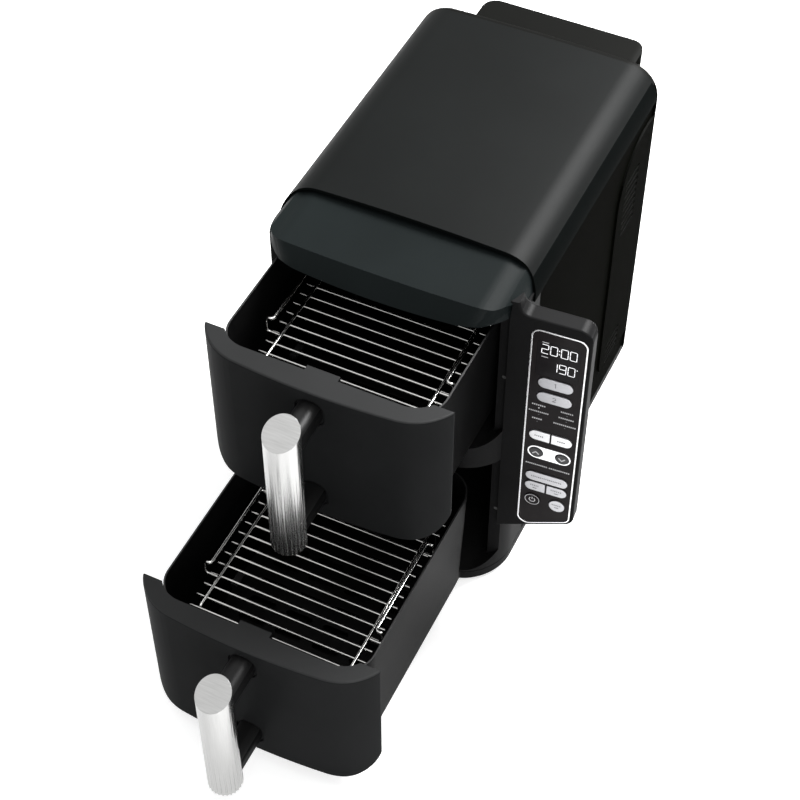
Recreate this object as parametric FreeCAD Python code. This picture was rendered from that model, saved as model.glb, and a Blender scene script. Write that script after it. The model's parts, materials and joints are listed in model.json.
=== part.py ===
"""Upright air fryer with two drawers, a bowed front and a control wing on the right.

Frame: millimetres, +Z up, +X to the right of someone facing the drawers, -Y towards them.
Pieces are drawn from the cabinet's own datum (middle of the cabinet, front edge of the side
panels, floor) and are moved at the end so that the origin is the middle of the footprint.
The rest pose has both drawers pulled out, the lower one further than the upper one.
"""

import FreeCAD
import Part
import math
import os

from FreeCAD import Vector

# Heights, from the floor up
FOOT_HEIGHT = 3.0
BASE_HEIGHT = 11.0
BAY_FLOOR_THICKNESS = 3.0
FRONT_FLOOR_GAP = 1.5
FRONT_HEIGHT = 153.0
FRONT_TOP_GAP = 2.5
CROSSBAR_HEIGHT = 27.0
HEAD_HEIGHT = 27.0

# Widths, as half widths and steps inward from the cover
COVER_HALF = 121.0
COVER_WALL = 2.0
POST_WIDTH = 16.0
FRONT_SIDE_STEP = 6.0
POCKET_CLEARANCE = 3.0
BASKET_SIDE_GAP = 3.0

# Depths
BOW_REACH = 81.5
CHAMBER_DEPTH = 190.0
DRUM_DEPTH = 36.0
MOTOR_BAY_DEPTH = 51.0
REAR_HOUSING_DEPTH = 27.5
BASKET_REAR_GAP = 15.5

# Bowed front in plan: a flat middle arc with a tight arc at each end
BOW_MID_RADIUS = 700.0
BOW_END_RADIUS = 52.0

# Drawers
UPPER_OUT = 112.0
LOWER_SILL_BITE = 8.5
FRONT_WALL = 2.5
FRONT_TIP = 1.5
FRONT_CORNER_RADIUS = 26.0
FRONT_EDGE_RADIUS = 2.0
FRONT_TAB_WIDTH = 30.0
FRONT_TAB_REACH = 5.0
BASKET_NOSE = 11.0
BASKET_WALL = 1.5
BASKET_DRAFT = 5.0
BASKET_CORNER_RADIUS = 28.0
BASKET_FLOOR_RADIUS = 8.0
FLOOR_EDGE_STEPS = 3
BASKET_PLATE_THICKNESS = 1.2
BASKET_PLATE_INSET = 3.0
BASKET_FIT = 0.3
RIM_DROP = 8.0
SKID_HEIGHT = 9.5
SKID_CLEARANCE = 0.3
SKID_WIDTH = 12.0
SKID_INSET = 5.0
HEEL_SETBACK = 2.0
HEEL_LENGTH = 28.0
SKID_NOTCH = 22.0
SKID_LENGTH = 88.0

# Handles
GRIP_RADIUS = 15.5
GRIP_WALL = 1.5
GRIP_STANDOFF = 46.0
GRIP_BOTTOM_RISE = 12.0
GRIP_SLANT = 0.43
GRIP_SPLIT = 6.0
GRIP_FIT = 0.1
FLUTE_COUNT = 15
FLUTE_PITCH_DEG = 14.0
FLUTE_RADIUS = 1.8
FLUTE_DEPTH = 0.9
FLUTE_RUN = 98.0
ARM_WIDTH = 22.0
ARM_HEIGHT = 24.0
ARM_EDGE_RADIUS = 9.0
ARM_TOP_DROP = 11.0
COLLAR_GAP = 0.5
ARM_BOTTOM_RISE = 13.0
ARM_SOCKET_DEPTH = 1.5
ARM_SOCKET_MARGIN = 2.5
SCREW_RADIUS = 2.0
SCREW_HEAD_RADIUS = 4.0
SCREW_HEAD_HEIGHT = 2.5
SCREW_LENGTH = 16.0

# Crisper plates and wire racks
CRISPER_LEG_HEIGHT = 10.0
CRISPER_LEG_RADIUS = 4.0
CRISPER_THICKNESS = 1.5
CRISPER_EDGE_GAP = 4.0
CRISPER_SLOT_LENGTH = 26.0
CRISPER_SLOT_WIDTH = 6.0
CRISPER_SLOT_COLUMNS = 4
CRISPER_SLOT_ROWS = 8
CRISPER_SLOT_PITCH_X = 38.0
CRISPER_SLOT_PITCH_Y = 22.0
BUMPER_LENGTH = 16.0
BUMPER_HEIGHT = 7.0
BUMPER_BITE = 3.0
BUMPER_FIT = 0.4
RACK_DROP = 52.0
RACK_HANDLE_RISE = 17.0
RACK_WIRE_RADIUS = 1.25
RACK_RAIL_RADIUS = 1.75
RACK_RAIL_X = 74.0
RACK_WIRE_HALF = 83.0
RACK_WIRE_COUNT = 15
RACK_WIRE_PITCH = 12.5
RACK_HANDLE_WIRES = 9
RACK_FIT = 0.3
WIRE_SIDES = 8

# Cover, visor, side panels and back
COVER_EDGE_RADIUS = 18.0
COVER_CROWN = 2.0
COVER_SKIRT = 34.5
COVER_LEAD = 5.0
COVER_RAKE = 0.37
REAR_RIM_DEPTH = 8.0
REAR_EDGE_RADIUS = 6.0
VISOR_LIP_HEIGHT = 18.5
VISOR_SETBACK = 14.0
VISOR_BULGE = 1.5
VISOR_CORNER_RADIUS = 32.0
VISOR_RISE = 2.0
VISOR_TUCK = 8.0
VISOR_WALL = 2.5
VISOR_SIDE_GAP = 0.6
PANEL_WALL = 2.0
PANEL_TUCK = 1.5
POD_LENGTH = 79.0
POD_PROUD = 2.0
POD_BOTTOM_RISE = 26.0
POD_TOP_DROP = 18.0
POD_TOP_RADIUS = 60.0
POD_BOTTOM_RADIUS = 20.0
VENT_LENGTH = 34.0
VENT_WIDTH = 4.0
VENT_PITCH = 8.0
VENT_INSET = 46.0
UPPER_VENT_COUNT = 9
UPPER_VENT_DROP = 100.0
LOWER_VENT_COUNT = 4
LOWER_VENT_RISE = 12.0
REAR_WALL = 2.5
REAR_HOUSING_LEFT = 66.0
REAR_HOUSING_RIGHT = 95.0
REAR_HOUSING_BOTTOM_RISE = 26.0
REAR_HOUSING_TOP_DROP = 2.5
REAR_HOUSING_RADIUS = 14.0
REAR_VENT_LENGTH = 90.0
REAR_VENT_COUNT = 10
REAR_VENT_PITCH = 9.0

# Front frame and base
FRAME_WALL = 3.0
POST_VOID_SETBACK = 6.0
POCKET_BACK_GAP = 0.5
POCKET_CORNER_CLEARANCE = 1.0
BAY_CORNER_RADIUS = 10.0
TOP_BEAM_HEIGHT = 12.0
TOP_BEAM_DEPTH = 38.0
TOP_BEAM_SIDE_GAP = 12.0
GROOVE_HEIGHT = 1.0
GROOVE_DEPTH = 5.0
BASE_WALL = 2.5
BASE_EDGE_RADIUS = 2.0
FOOT_RADIUS = 9.0
FOOT_INSET = 22.0
FOOT_BOSS_MARGIN = 2.0

# Chambers, heaters and fans
LINER_WALL = 1.0
FAN_OPENING_RADIUS = 60.0
GUARD_RADIUS = 66.0
GUARD_THICKNESS = 1.5
GUARD_SLOT_COUNT = 16
GUARD_SLOT_WIDTH = 4.0
GUARD_SLOT_INNER = 14.0
GUARD_SLOT_OUTER = 54.0
DRUM_RADIUS = 70.0
DRUM_WALL = 1.0
HEATER_RING_RADIUS = 56.0
HEATER_TUBE_RADIUS = 3.2
HEATER_GAP_DEG = 24.0
HEATER_SETBACK = 14.0
HEATER_TAIL = 8.0
HEATER_FIT = 0.1
FAN_RADIUS = 46.0
FAN_BLADE_COUNT = 8
FAN_BLADE_DEPTH = 14.0
FAN_BLADE_THICKNESS = 1.2
FAN_HUB_RADIUS = 10.0
FAN_SETBACK = 9.0
SHAFT_RADIUS = 4.0
SHAFT_RUNNING_FIT = 0.05
SHAFT_ENGAGEMENT = 16.0
MOTOR_RADIUS = 27.0
MOTOR_LENGTH = 34.0
MOTOR_FLANGE_RADIUS = 34.0
MOTOR_FLANGE_THICKNESS = 3.0
MOTOR_BOSS_RADIUS = 11.0
MOTOR_BOSS_LENGTH = 4.0
MOTOR_BOSS_FIT = 0.1

# Control wing, in its own plane: u to the right, z up, depth backwards from its front face
WING_YAW_DEG = 4.6
WING_X_GAP = 12.6
WING_SETBACK = 31.5
FASCIA_WIDTH = 49.5
FASCIA_TOP_DROP = 2.5
FASCIA_LEFT_HEIGHT = 265.7
FASCIA_RIGHT_HEIGHT = 242.3
FASCIA_RADIUS = 9.0
WING_BORDER = 3.2
WING_TOP_BORDER = 11.0
WING_FIN_WIDTH = 3.0
WING_FIN_HEIGHT = 13.0
WING_FIN_TIP = 1.0
WING_FIN_RADIUS = 10.0
WING_EDGE_RADIUS = 2.0
WING_SHELL_DEPTH = 13.0
WING_BACK_DEPTH = 5.0
WING_BACK_INSET = 1.2
WING_BACK_RADIUS = 2.5
WING_WALL = 2.2
WING_FIT = 0.2
LEDGE_DEPTH = 3.0
LEDGE_THICKNESS = 2.0
LEDGE_WIDTH = 4.0
TRIM_WIDTH = 1.4
TRIM_PROUD = 0.3
FASCIA_RECESS = 0.5
FASCIA_FIT = 0.05
DISPLAY_WIDTH = 38.0
DISPLAY_HEIGHT = 43.0
DISPLAY_TOP_DROP = 12.4
DISPLAY_RADIUS = 3.0
DISPLAY_FIT = 0.1
BOARD_DEPTH = 10.0
BOARD_THICKNESS = 1.6
BOARD_OVERHANG = 0.5
BOARD_POST_RADIUS = 1.8
BOARD_POST_INSET = 2.0
KEY_PROUD = 0.8
KEY_FIT = 0.25
KEY_FLANGE_MARGIN = 0.6
KEY_FLANGE_THICKNESS = 1.2
KEY_FLANGE_GAP = 0.1
KEY_STEM_RADIUS = 2.0
KEY_TRAVEL = 1.0
KEY_SWITCH_GAP = 0.1
SWITCH_SIZE = 6.0
SPLIT_GAP = 1.6
ZONE_KEY_LENGTH = 31.0
ZONE_KEY_HEIGHT = 12.0
WIDE_KEY_LENGTH = 39.0
WIDE_KEY_HEIGHT = 11.5
ARROW_KEY_RADIUS = 5.7
ARROW_KEY_SPACING = 24.0
ROUND_KEY_RADIUS = 7.3
ROUND_KEY_SPACING = 23.3

# Rows of keys, as drops from the top of the fascia
ZONE_1_DROP = 62.4
ZONE_2_DROP = 80.4
TEMP_TIME_DROP = 132.4
ARROW_DROP = 156.0
BOTH_ZONES_DROP = 189.1
SYNC_MATCH_DROP = 203.3
POWER_START_DROP = 223.0

# Power board, gland and drawer switches
POWER_BOARD_WIDTH = 110.0
POWER_BOARD_HEIGHT = 150.0
POWER_BOARD_POST = 12.0
POWER_BOARD_POST_RADIUS = 4.0
POWER_BOARD_RISE = 90.0
CAPACITOR_RADIUS = 9.0
CAPACITOR_LENGTH = 8.0
GLAND_RADIUS = 9.0
GLAND_FLANGE_RADIUS = 13.0
GLAND_FLANGE_THICKNESS = 3.0
GLAND_BORE_RADIUS = 4.5
GLAND_RISE = 30.0
REAR_SCREW_INSET = 9.0
DRAWER_SWITCH_WIDTH = 6.0
DRAWER_SWITCH_DEPTH = 20.0
DRAWER_SWITCH_HEIGHT = 14.0
PLUNGER_RADIUS = 2.0
PLUNGER_FIT = 0.2
PLUNGER_SETBACK = 0.2

# Levels and widths worked out from the values above
LOWER_FLOOR = FOOT_HEIGHT + BASE_HEIGHT + BAY_FLOOR_THICKNESS
BAY_HEIGHT = FRONT_FLOOR_GAP + FRONT_HEIGHT + FRONT_TOP_GAP
UPPER_FLOOR = LOWER_FLOOR + BAY_HEIGHT + CROSSBAR_HEIGHT
BASE_TOP = FOOT_HEIGHT + BASE_HEIGHT
VISOR_Z = UPPER_FLOOR + BAY_HEIGHT
CABINET_TOP = VISOR_Z + HEAD_HEIGHT
FRAME_HALF = COVER_HALF - COVER_WALL
BAY_HALF = FRAME_HALF - POST_WIDTH
FRONT_HALF = FRAME_HALF - FRONT_SIDE_STEP
BASKET_HALF = BAY_HALF - BASKET_SIDE_GAP
COVER_DEPTH = CHAMBER_DEPTH + DRUM_DEPTH + MOTOR_BAY_DEPTH
REAR_Y = COVER_DEPTH + REAR_HOUSING_DEPTH
PANEL_BACK = COVER_DEPTH - REAR_RIM_DEPTH
SIDE_OUTER = COVER_HALF - COVER_WALL
OVERLAP = 1.0
EDGE_TOLERANCE = 0.01
POINT_TOLERANCE = 1e-6
ROUND_END_SHORTFALL = 0.01

# At rest the lower basket's back still lies a little way over the sill of its bay
CLOSED_BASKET_BACK = CHAMBER_DEPTH - BASKET_REAR_GAP
LOWER_OUT = CLOSED_BASKET_BACK + BOW_REACH - LOWER_SILL_BITE
GRIP_COLLAR = ARM_TOP_DROP - COLLAR_GAP
DRAWERS = {"upper": (UPPER_FLOOR, UPPER_OUT), "lower": (LOWER_FLOOR, LOWER_OUT)}


# Plain building blocks

def block(x0, x1, y0, y1, z0, z1):
    return Part.makeBox(x1 - x0, y1 - y0, z1 - z0, Vector(x0, y0, z0))


def rod(radius, start, direction, length):
    return Part.makeCylinder(radius, length, start, direction)


def line(a, b):
    return Part.LineSegment(a, b).toShape()


def arc(a, b, c):
    return Part.Arc(a, b, c).toShape()


def fused(shapes):
    return shapes[0].multiFuse(shapes[1:]).removeSplitter()


def corner_points(before, corner, after, radius):
    """Start, middle and end of the arc that rounds one corner of an outline."""
    u = (before - corner).normalize()
    v = (after - corner).normalize()
    half_angle = u.getAngle(v) / 2.0
    bisector = (u + v).normalize()
    reach = radius / math.tan(half_angle)
    centre = corner + bisector * (radius / math.sin(half_angle))
    return corner + u * reach, centre - bisector * radius, corner + v * reach


def outline(points, place):
    """Closed wire through (a, b, radius) corners, put into space by place(a, b)."""
    corners = [Vector(a, b, 0) for a, b, radius in points]
    edges = []
    ends = []
    for i, (a, b, radius) in enumerate(points):
        if radius > 0:
            triple = corner_points(corners[i - 1], corners[i], corners[(i + 1) % len(points)], radius)
            start, middle, end = [place(p.x, p.y) for p in triple]
            edges.append(arc(start, middle, end))
            ends.append((start, end))
        else:
            spot = place(a, b)
            edges.append(None)
            ends.append((spot, spot))
    loop = []
    for i, edge in enumerate(edges):
        if edge is not None:
            loop.append(edge)
        gap_start = ends[i][1]
        gap_end = ends[(i + 1) % len(ends)][0]
        if gap_start.distanceToPoint(gap_end) > POINT_TOLERANCE:
            loop.append(line(gap_start, gap_end))
    return Part.Wire(loop)


def plan_wire(points, z):
    return outline(points, lambda a, b: Vector(a, b, z))


def plan_prism(points, z0, z1):
    return Part.Face(plan_wire(points, z0)).extrude(Vector(0, 0, z1 - z0))


def front_prism(points, y0, y1):
    face = Part.Face(outline(points, lambda a, b: Vector(a, y0, b)))
    return face.extrude(Vector(0, y1 - y0, 0))


def side_prism(points, x0, x1):
    face = Part.Face(outline(points, lambda a, b: Vector(x0, a, b)))
    return face.extrude(Vector(x1 - x0, 0, 0))


def rectangle(a0, a1, b0, b1, radius):
    return [(a0, b0, radius), (a1, b0, radius), (a1, b1, radius), (a0, b1, radius)]


def pill(a, b, length, width):
    """Outline with fully round ends, drawn as a rectangle just short of a half circle."""
    radius = width / 2.0 - ROUND_END_SHORTFALL
    return rectangle(a - length / 2.0, a + length / 2.0, b - width / 2.0, b + width / 2.0, radius)


def slot(a, b, length, width):
    """Outline of a slot with bevelled ends."""
    bevel = width / 3.0
    half = length / 2.0
    side = width / 2.0
    quarter = [(half, side - bevel), (half - bevel, side)]
    right = [(x, -y) for x, y in quarter[::-1]] + quarter
    left = [(-x, -y) for x, y in right]
    return [(a + x, b + y, 0) for x, y in right + left]


def wire(radius, start, direction, length):
    """Straight eight-sided wire."""
    along = Vector(direction).normalize()
    across = along.cross(Vector(along.z, along.x, along.y))
    up = along.cross(across)
    corners = []
    for i in range(WIRE_SIDES + 1):
        angle = 2.0 * math.pi * (i + 0.5) / WIRE_SIDES
        corners.append(start + across * (radius * math.cos(angle)) + up * (radius * math.sin(angle)))
    return Part.Face(Part.makePolygon(corners)).extrude(along * length)


# The bowed outline shared by the fronts, frame, visor and base

def bow_end(half, inset):
    """End point of the bowed curve at x = half, measured from the middle of the bow."""
    end_x = FRAME_HALF - BOW_END_RADIUS
    turn = math.asin(end_x / (BOW_MID_RADIUS - BOW_END_RADIUS))
    end_y = BOW_MID_RADIUS - (BOW_MID_RADIUS - BOW_END_RADIUS) * math.cos(turn)
    radius = BOW_END_RADIUS - inset
    stop = math.asin(min(1.0, (half - end_x) / radius))
    return Vector(end_x, end_y, 0), turn, radius, stop


def bow_wire(front_y, half, back_y, inset, z):
    centre, turn, radius, stop = bow_end(half, inset)

    def on_end(angle, side):
        x = centre.x + radius * math.sin(angle)
        y = front_y + centre.y - radius * math.cos(angle)
        return Vector(side * x, y, z)

    middle = (turn + stop) / 2.0
    right_back = Vector(half, back_y, z)
    left_back = Vector(-half, back_y, z)
    return Part.Wire([
        arc(on_end(stop, -1), on_end(middle, -1), on_end(turn, -1)),
        arc(on_end(turn, -1), Vector(0, front_y + inset, z), on_end(turn, 1)),
        arc(on_end(turn, 1), on_end(middle, 1), on_end(stop, 1)),
        line(on_end(stop, 1), right_back),
        line(right_back, left_back),
        line(left_back, on_end(stop, -1)),
    ])


def bow_prism(front_y, half, back_y, inset, z0, z1):
    face = Part.Face(bow_wire(front_y, half, back_y, inset, z0))
    return face.extrude(Vector(0, 0, z1 - z0))


def tip_depth():
    """How far the pointed ends of a drawer front lie behind its middle."""
    centre, turn, radius, stop = bow_end(FRONT_HALF, 0.0)
    return centre.y - radius * math.cos(stop)


FRONT_DEPTH = tip_depth() + FRONT_TIP
POCKET_BACK = -BOW_REACH + FRONT_DEPTH + BASKET_PLATE_THICKNESS + POCKET_BACK_GAP


def hood_face(half, z0, top, radius, y):
    """Front view of the cover: straight sides, rounded shoulders and a slightly crowned top."""
    shoulder = top - COVER_CROWN
    diagonal = radius * math.sqrt(0.5)

    def at(x, z):
        return Vector(x, y, z)

    return Part.Face(Part.Wire([
        line(at(-half, z0), at(-half, shoulder - radius)),
        arc(at(-half, shoulder - radius),
            at(-half + radius - diagonal, shoulder - radius + diagonal),
            at(-half + radius, shoulder)),
        arc(at(-half + radius, shoulder), at(0, top), at(half - radius, shoulder)),
        arc(at(half - radius, shoulder),
            at(half - radius + diagonal, shoulder - radius + diagonal),
            at(half, shoulder - radius)),
        line(at(half, shoulder - radius), at(half, z0)),
        line(at(half, z0), at(-half, z0)),
    ]))


def hood_prism(half, z0, top, radius, y0, y1):
    return hood_face(half, z0, top, radius, y0).extrude(Vector(0, y1 - y0, 0))


# Cabinet shells

def top_cover():
    """Crowned hood whose front edge leans forward towards the bottom."""
    z0 = CABINET_TOP - COVER_SKIRT
    front = -COVER_LEAD - COVER_RAKE * COVER_SKIRT
    outer = hood_prism(COVER_HALF, z0, CABINET_TOP, COVER_EDGE_RADIUS, front, PANEL_BACK)
    inner = hood_prism(COVER_HALF - COVER_WALL, z0 - OVERLAP, CABINET_TOP - COVER_WALL,
                       COVER_EDGE_RADIUS - COVER_WALL, front - OVERLAP, PANEL_BACK + OVERLAP)
    ahead = side_prism([
        (front - 2 * OVERLAP, z0 - OVERLAP, 0),
        (front - COVER_RAKE * OVERLAP, z0 - OVERLAP, 0),
        (-COVER_LEAD + COVER_RAKE * OVERLAP, CABINET_TOP + OVERLAP, 0),
        (front - 2 * OVERLAP, CABINET_TOP + OVERLAP, 0),
    ], -COVER_HALF - OVERLAP, COVER_HALF + OVERLAP)
    return outer.cut([inner, ahead])


def visor_edge(inset, back_y, z):
    """Plan of the visor's upper edge: flatter than the bow, with tighter corners."""
    half = FRAME_HALF - VISOR_SIDE_GAP - inset
    front = -BOW_REACH + VISOR_SETBACK + inset
    radius = VISOR_CORNER_RADIUS - inset
    nick = radius * (1.0 - math.sqrt(0.5))
    turn = half - radius

    def at(x, y):
        return Vector(x, y, z)

    return Part.Wire([
        arc(at(-half, front + radius), at(-half + nick, front + nick), at(-turn, front)),
        arc(at(-turn, front), at(0, front - VISOR_BULGE), at(turn, front)),
        arc(at(turn, front), at(half - nick, front + nick), at(half, front + radius)),
        line(at(half, front + radius), at(half, back_y)),
        line(at(half, back_y), at(-half, back_y)),
        line(at(-half, back_y), at(-half, front + radius)),
    ])


def visor_solid(inset, z0, back_y):
    """Lip that leans back in the middle, under a top that slopes gently up to the cover."""
    half = FRAME_HALF - VISOR_SIDE_GAP
    low = bow_wire(-BOW_REACH, half - inset, back_y, inset, z0)
    high = visor_edge(inset, back_y, VISOR_Z + VISOR_LIP_HEIGHT + VISOR_RISE)
    body = Part.makeLoft([low, high], True, True)
    crease = VISOR_Z + VISOR_LIP_HEIGHT - inset
    slope = side_prism([
        (-BOW_REACH - OVERLAP, z0 - OVERLAP, 0),
        (back_y + OVERLAP, z0 - OVERLAP, 0),
        (back_y + OVERLAP, crease + VISOR_RISE, 0),
        (-BOW_REACH - OVERLAP, crease, 0),
    ], -COVER_HALF, COVER_HALF)
    shoulders = hood_prism(half - inset, z0 - OVERLAP, CABINET_TOP - COVER_WALL - VISOR_SIDE_GAP - inset,
                           COVER_EDGE_RADIUS - COVER_WALL - VISOR_SIDE_GAP, -BOW_REACH - OVERLAP,
                           back_y + OVERLAP)
    return body.common(slope).common(shoulders)


def visor():
    outer = visor_solid(0.0, VISOR_Z, VISOR_TUCK)
    inner = visor_solid(VISOR_WALL, VISOR_Z - OVERLAP, VISOR_TUCK + OVERLAP)
    return outer.cut(inner)


def vent_slots(x0, x1, first_z, count):
    """Column of level slots through a side panel."""
    y = PANEL_BACK - VENT_INSET
    return [side_prism(slot(y, first_z + i * VENT_PITCH, VENT_LENGTH, VENT_WIDTH), x0, x1)
            for i in range(count)]


def side_panel(side):
    """Flat side with a raised rear pod that carries the cooling vents."""
    top = CABINET_TOP - COVER_SKIRT
    inner = SIDE_OUTER - PANEL_WALL
    plate = block(inner, SIDE_OUTER, 0, PANEL_BACK, BASE_TOP, top + PANEL_TUCK)
    pod_front = PANEL_BACK - POD_LENGTH
    pod_bottom = BASE_TOP + POD_BOTTOM_RISE
    pod_top = top - POD_TOP_DROP
    pod = side_prism([
        (pod_front, pod_bottom, POD_BOTTOM_RADIUS),
        (PANEL_BACK, pod_bottom, 0),
        (PANEL_BACK, pod_top, 0),
        (pod_front, pod_top, POD_TOP_RADIUS),
    ], SIDE_OUTER, SIDE_OUTER + POD_PROUD)
    upper_first = pod_top - UPPER_VENT_DROP
    lower_first = pod_bottom + LOWER_VENT_RISE
    outside = SIDE_OUTER + POD_PROUD + OVERLAP
    slots = vent_slots(inner - OVERLAP, outside, upper_first, UPPER_VENT_COUNT)
    slots += vent_slots(inner - OVERLAP, outside, lower_first, LOWER_VENT_COUNT)
    panel = plate.fuse(pod).removeSplitter().cut(slots)
    if side < 0:
        panel = panel.mirror(Vector(0, 0, 0), Vector(1, 0, 0))
    return panel


def rear_housing(inset, y0, y1):
    points = rectangle(-REAR_HOUSING_LEFT + inset, REAR_HOUSING_RIGHT - inset, y0, y1 - inset, 0)
    radius = REAR_HOUSING_RADIUS - inset
    points[2] = (points[2][0], points[2][1], radius)
    points[3] = (points[3][0], points[3][1], radius)
    bottom = BASE_TOP + REAR_HOUSING_BOTTOM_RISE + inset
    return plan_prism(points, bottom, CABINET_TOP - REAR_HOUSING_TOP_DROP - inset)


def power_board_posts():
    """Centres of the four posts that hold the power board in the rear housing."""
    middle = (REAR_HOUSING_RIGHT - REAR_HOUSING_LEFT) / 2.0
    bottom = BASE_TOP + REAR_HOUSING_BOTTOM_RISE + POWER_BOARD_RISE
    dx = POWER_BOARD_WIDTH / 2.0 - POWER_BOARD_POST_RADIUS
    z0 = bottom + POWER_BOARD_POST_RADIUS
    z1 = bottom + POWER_BOARD_HEIGHT - POWER_BOARD_POST_RADIUS
    return [(middle + s * dx, z) for s in (-1, 1) for z in (z0, z1)]


def rear_screw_places():
    x = FRAME_HALF - REAR_SCREW_INSET
    low = BASE_TOP + REAR_SCREW_INSET
    high = CABINET_TOP - COVER_SKIRT
    return [(s * x, z) for s in (-1, 1) for z in (low, (low + high) / 2.0, high)]


def gland_place():
    return Vector(REAR_HOUSING_RIGHT - REAR_HOUSING_RADIUS - GLAND_FLANGE_RADIUS, REAR_Y,
                  BASE_TOP + REAR_HOUSING_BOTTOM_RISE + GLAND_RISE)


def rear_cover():
    """Rounded back rim with a deeper housing that stands off the wall and vents the boards."""
    plate = hood_prism(COVER_HALF, BASE_TOP, CABINET_TOP, COVER_EDGE_RADIUS, PANEL_BACK, COVER_DEPTH)
    rim = [e for e in plate.Edges
           if e.BoundBox.YMin > COVER_DEPTH - EDGE_TOLERANCE and e.BoundBox.ZMax > BASE_TOP + OVERLAP]
    plate = plate.makeFillet(REAR_EDGE_RADIUS, rim)
    cover = plate.fuse(rear_housing(0.0, PANEL_BACK + OVERLAP, REAR_Y)).removeSplitter()
    cover = cover.cut(rear_housing(REAR_WALL, PANEL_BACK - OVERLAP, REAR_Y))
    back = Vector(0, 1, 0)
    posts = [rod(POWER_BOARD_POST_RADIUS, Vector(x, REAR_Y - REAR_WALL - POWER_BOARD_POST, z), back,
                 POWER_BOARD_POST + OVERLAP) for x, z in power_board_posts()]
    cover = fused([cover] + posts)
    middle = (REAR_HOUSING_RIGHT - REAR_HOUSING_LEFT) / 2.0
    first = CABINET_TOP - COVER_SKIRT - REAR_VENT_COUNT * REAR_VENT_PITCH
    cuts = [front_prism(slot(middle, first + i * REAR_VENT_PITCH, REAR_VENT_LENGTH, VENT_WIDTH),
                        REAR_Y - REAR_WALL - OVERLAP, REAR_Y + OVERLAP) for i in range(REAR_VENT_COUNT)]
    cuts += [rod(SCREW_RADIUS, Vector(x, PANEL_BACK - OVERLAP, z), back, REAR_RIM_DEPTH + 2 * OVERLAP)
             for x, z in rear_screw_places()]
    cuts.append(rod(GLAND_RADIUS, gland_place() - back * (REAR_WALL + OVERLAP), back,
                    REAR_WALL + 2 * OVERLAP))
    return cover.cut(cuts)


def case_screws():
    """Pan-head screws that hold the back on."""
    back = Vector(0, 1, 0)
    screws = []
    for x, z in rear_screw_places():
        shank = rod(SCREW_RADIUS, Vector(x, PANEL_BACK, z), back, REAR_RIM_DEPTH)
        head = rod(SCREW_HEAD_RADIUS, Vector(x, COVER_DEPTH, z), back, SCREW_HEAD_HEIGHT)
        screws.append(shank.fuse(head).removeSplitter())
    return Part.makeCompound(screws)


def cord_gland():
    """Inlet bush in the back, with a bore for a mains lead."""
    spot = gland_place()
    back = Vector(0, 1, 0)
    length = REAR_WALL + GLAND_FLANGE_THICKNESS
    neck = rod(GLAND_RADIUS, spot - back * REAR_WALL, back, REAR_WALL)
    flange = rod(GLAND_FLANGE_RADIUS, spot, back, GLAND_FLANGE_THICKNESS)
    bore = rod(GLAND_BORE_RADIUS, spot - back * (REAR_WALL + OVERLAP), back, length + 2 * OVERLAP)
    return neck.fuse(flange).removeSplitter().cut(bore)


def power_board():
    """Mains board on the rear housing's posts, with its capacitors standing forward."""
    middle = (REAR_HOUSING_RIGHT - REAR_HOUSING_LEFT) / 2.0
    bottom = BASE_TOP + REAR_HOUSING_BOTTOM_RISE + POWER_BOARD_RISE
    back = REAR_Y - REAR_WALL - POWER_BOARD_POST
    half = POWER_BOARD_WIDTH / 2.0
    board = block(middle - half, middle + half, back - BOARD_THICKNESS, back,
                  bottom, bottom + POWER_BOARD_HEIGHT)
    parts = [board]
    for i in (1, 2, 3):
        spot = Vector(middle, back - BOARD_THICKNESS, bottom + i * POWER_BOARD_HEIGHT / 4.0)
        parts.append(rod(CAPACITOR_RADIUS, spot, Vector(0, -1, 0), CAPACITOR_LENGTH))
    return fused(parts)


def foot_places():
    front = POCKET_BACK + FOOT_INSET
    back = COVER_DEPTH - FOOT_INSET
    x = FRAME_HALF - FOOT_INSET
    return [(s * x, y) for s in (-1, 1) for y in (front, back)]


def base_pan():
    """Moulded base with the same bowed front, hollow underneath, with a boss over each foot."""
    outer = bow_prism(-BOW_REACH, FRAME_HALF, COVER_DEPTH, 0.0, FOOT_HEIGHT, BASE_TOP)
    bottom_edges = [e for e in outer.Edges if e.BoundBox.ZMax < FOOT_HEIGHT + EDGE_TOLERANCE]
    outer = outer.makeFillet(BASE_EDGE_RADIUS, bottom_edges)
    rim = BASE_WALL + BASE_EDGE_RADIUS
    inner = bow_prism(-BOW_REACH, FRAME_HALF - rim, COVER_DEPTH - rim, rim,
                      FOOT_HEIGHT - OVERLAP, BASE_TOP - BASE_WALL)
    bosses = [rod(FOOT_RADIUS + FOOT_BOSS_MARGIN, Vector(x, y, FOOT_HEIGHT), Vector(0, 0, 1), BASE_HEIGHT)
              for x, y in foot_places()]
    return fused([outer.cut(inner)] + bosses)


def feet():
    return Part.makeCompound([rod(FOOT_RADIUS, Vector(x, y, 0), Vector(0, 0, 1), FOOT_HEIGHT)
                              for x, y in foot_places()])


def bay_outline(floor, half, radius):
    top = floor + BAY_HEIGHT
    return [(-half, floor, radius), (half, floor, radius), (half, top, 0), (-half, top, 0)]


def drawer_switch_places():
    """Plunger centres on the right post, one per bay."""
    x = BAY_HALF + FRAME_WALL + DRAWER_SWITCH_WIDTH / 2.0
    return [Vector(x, POCKET_BACK, floor + BAY_HEIGHT / 2.0) for floor, out in DRAWERS.values()]


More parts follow.
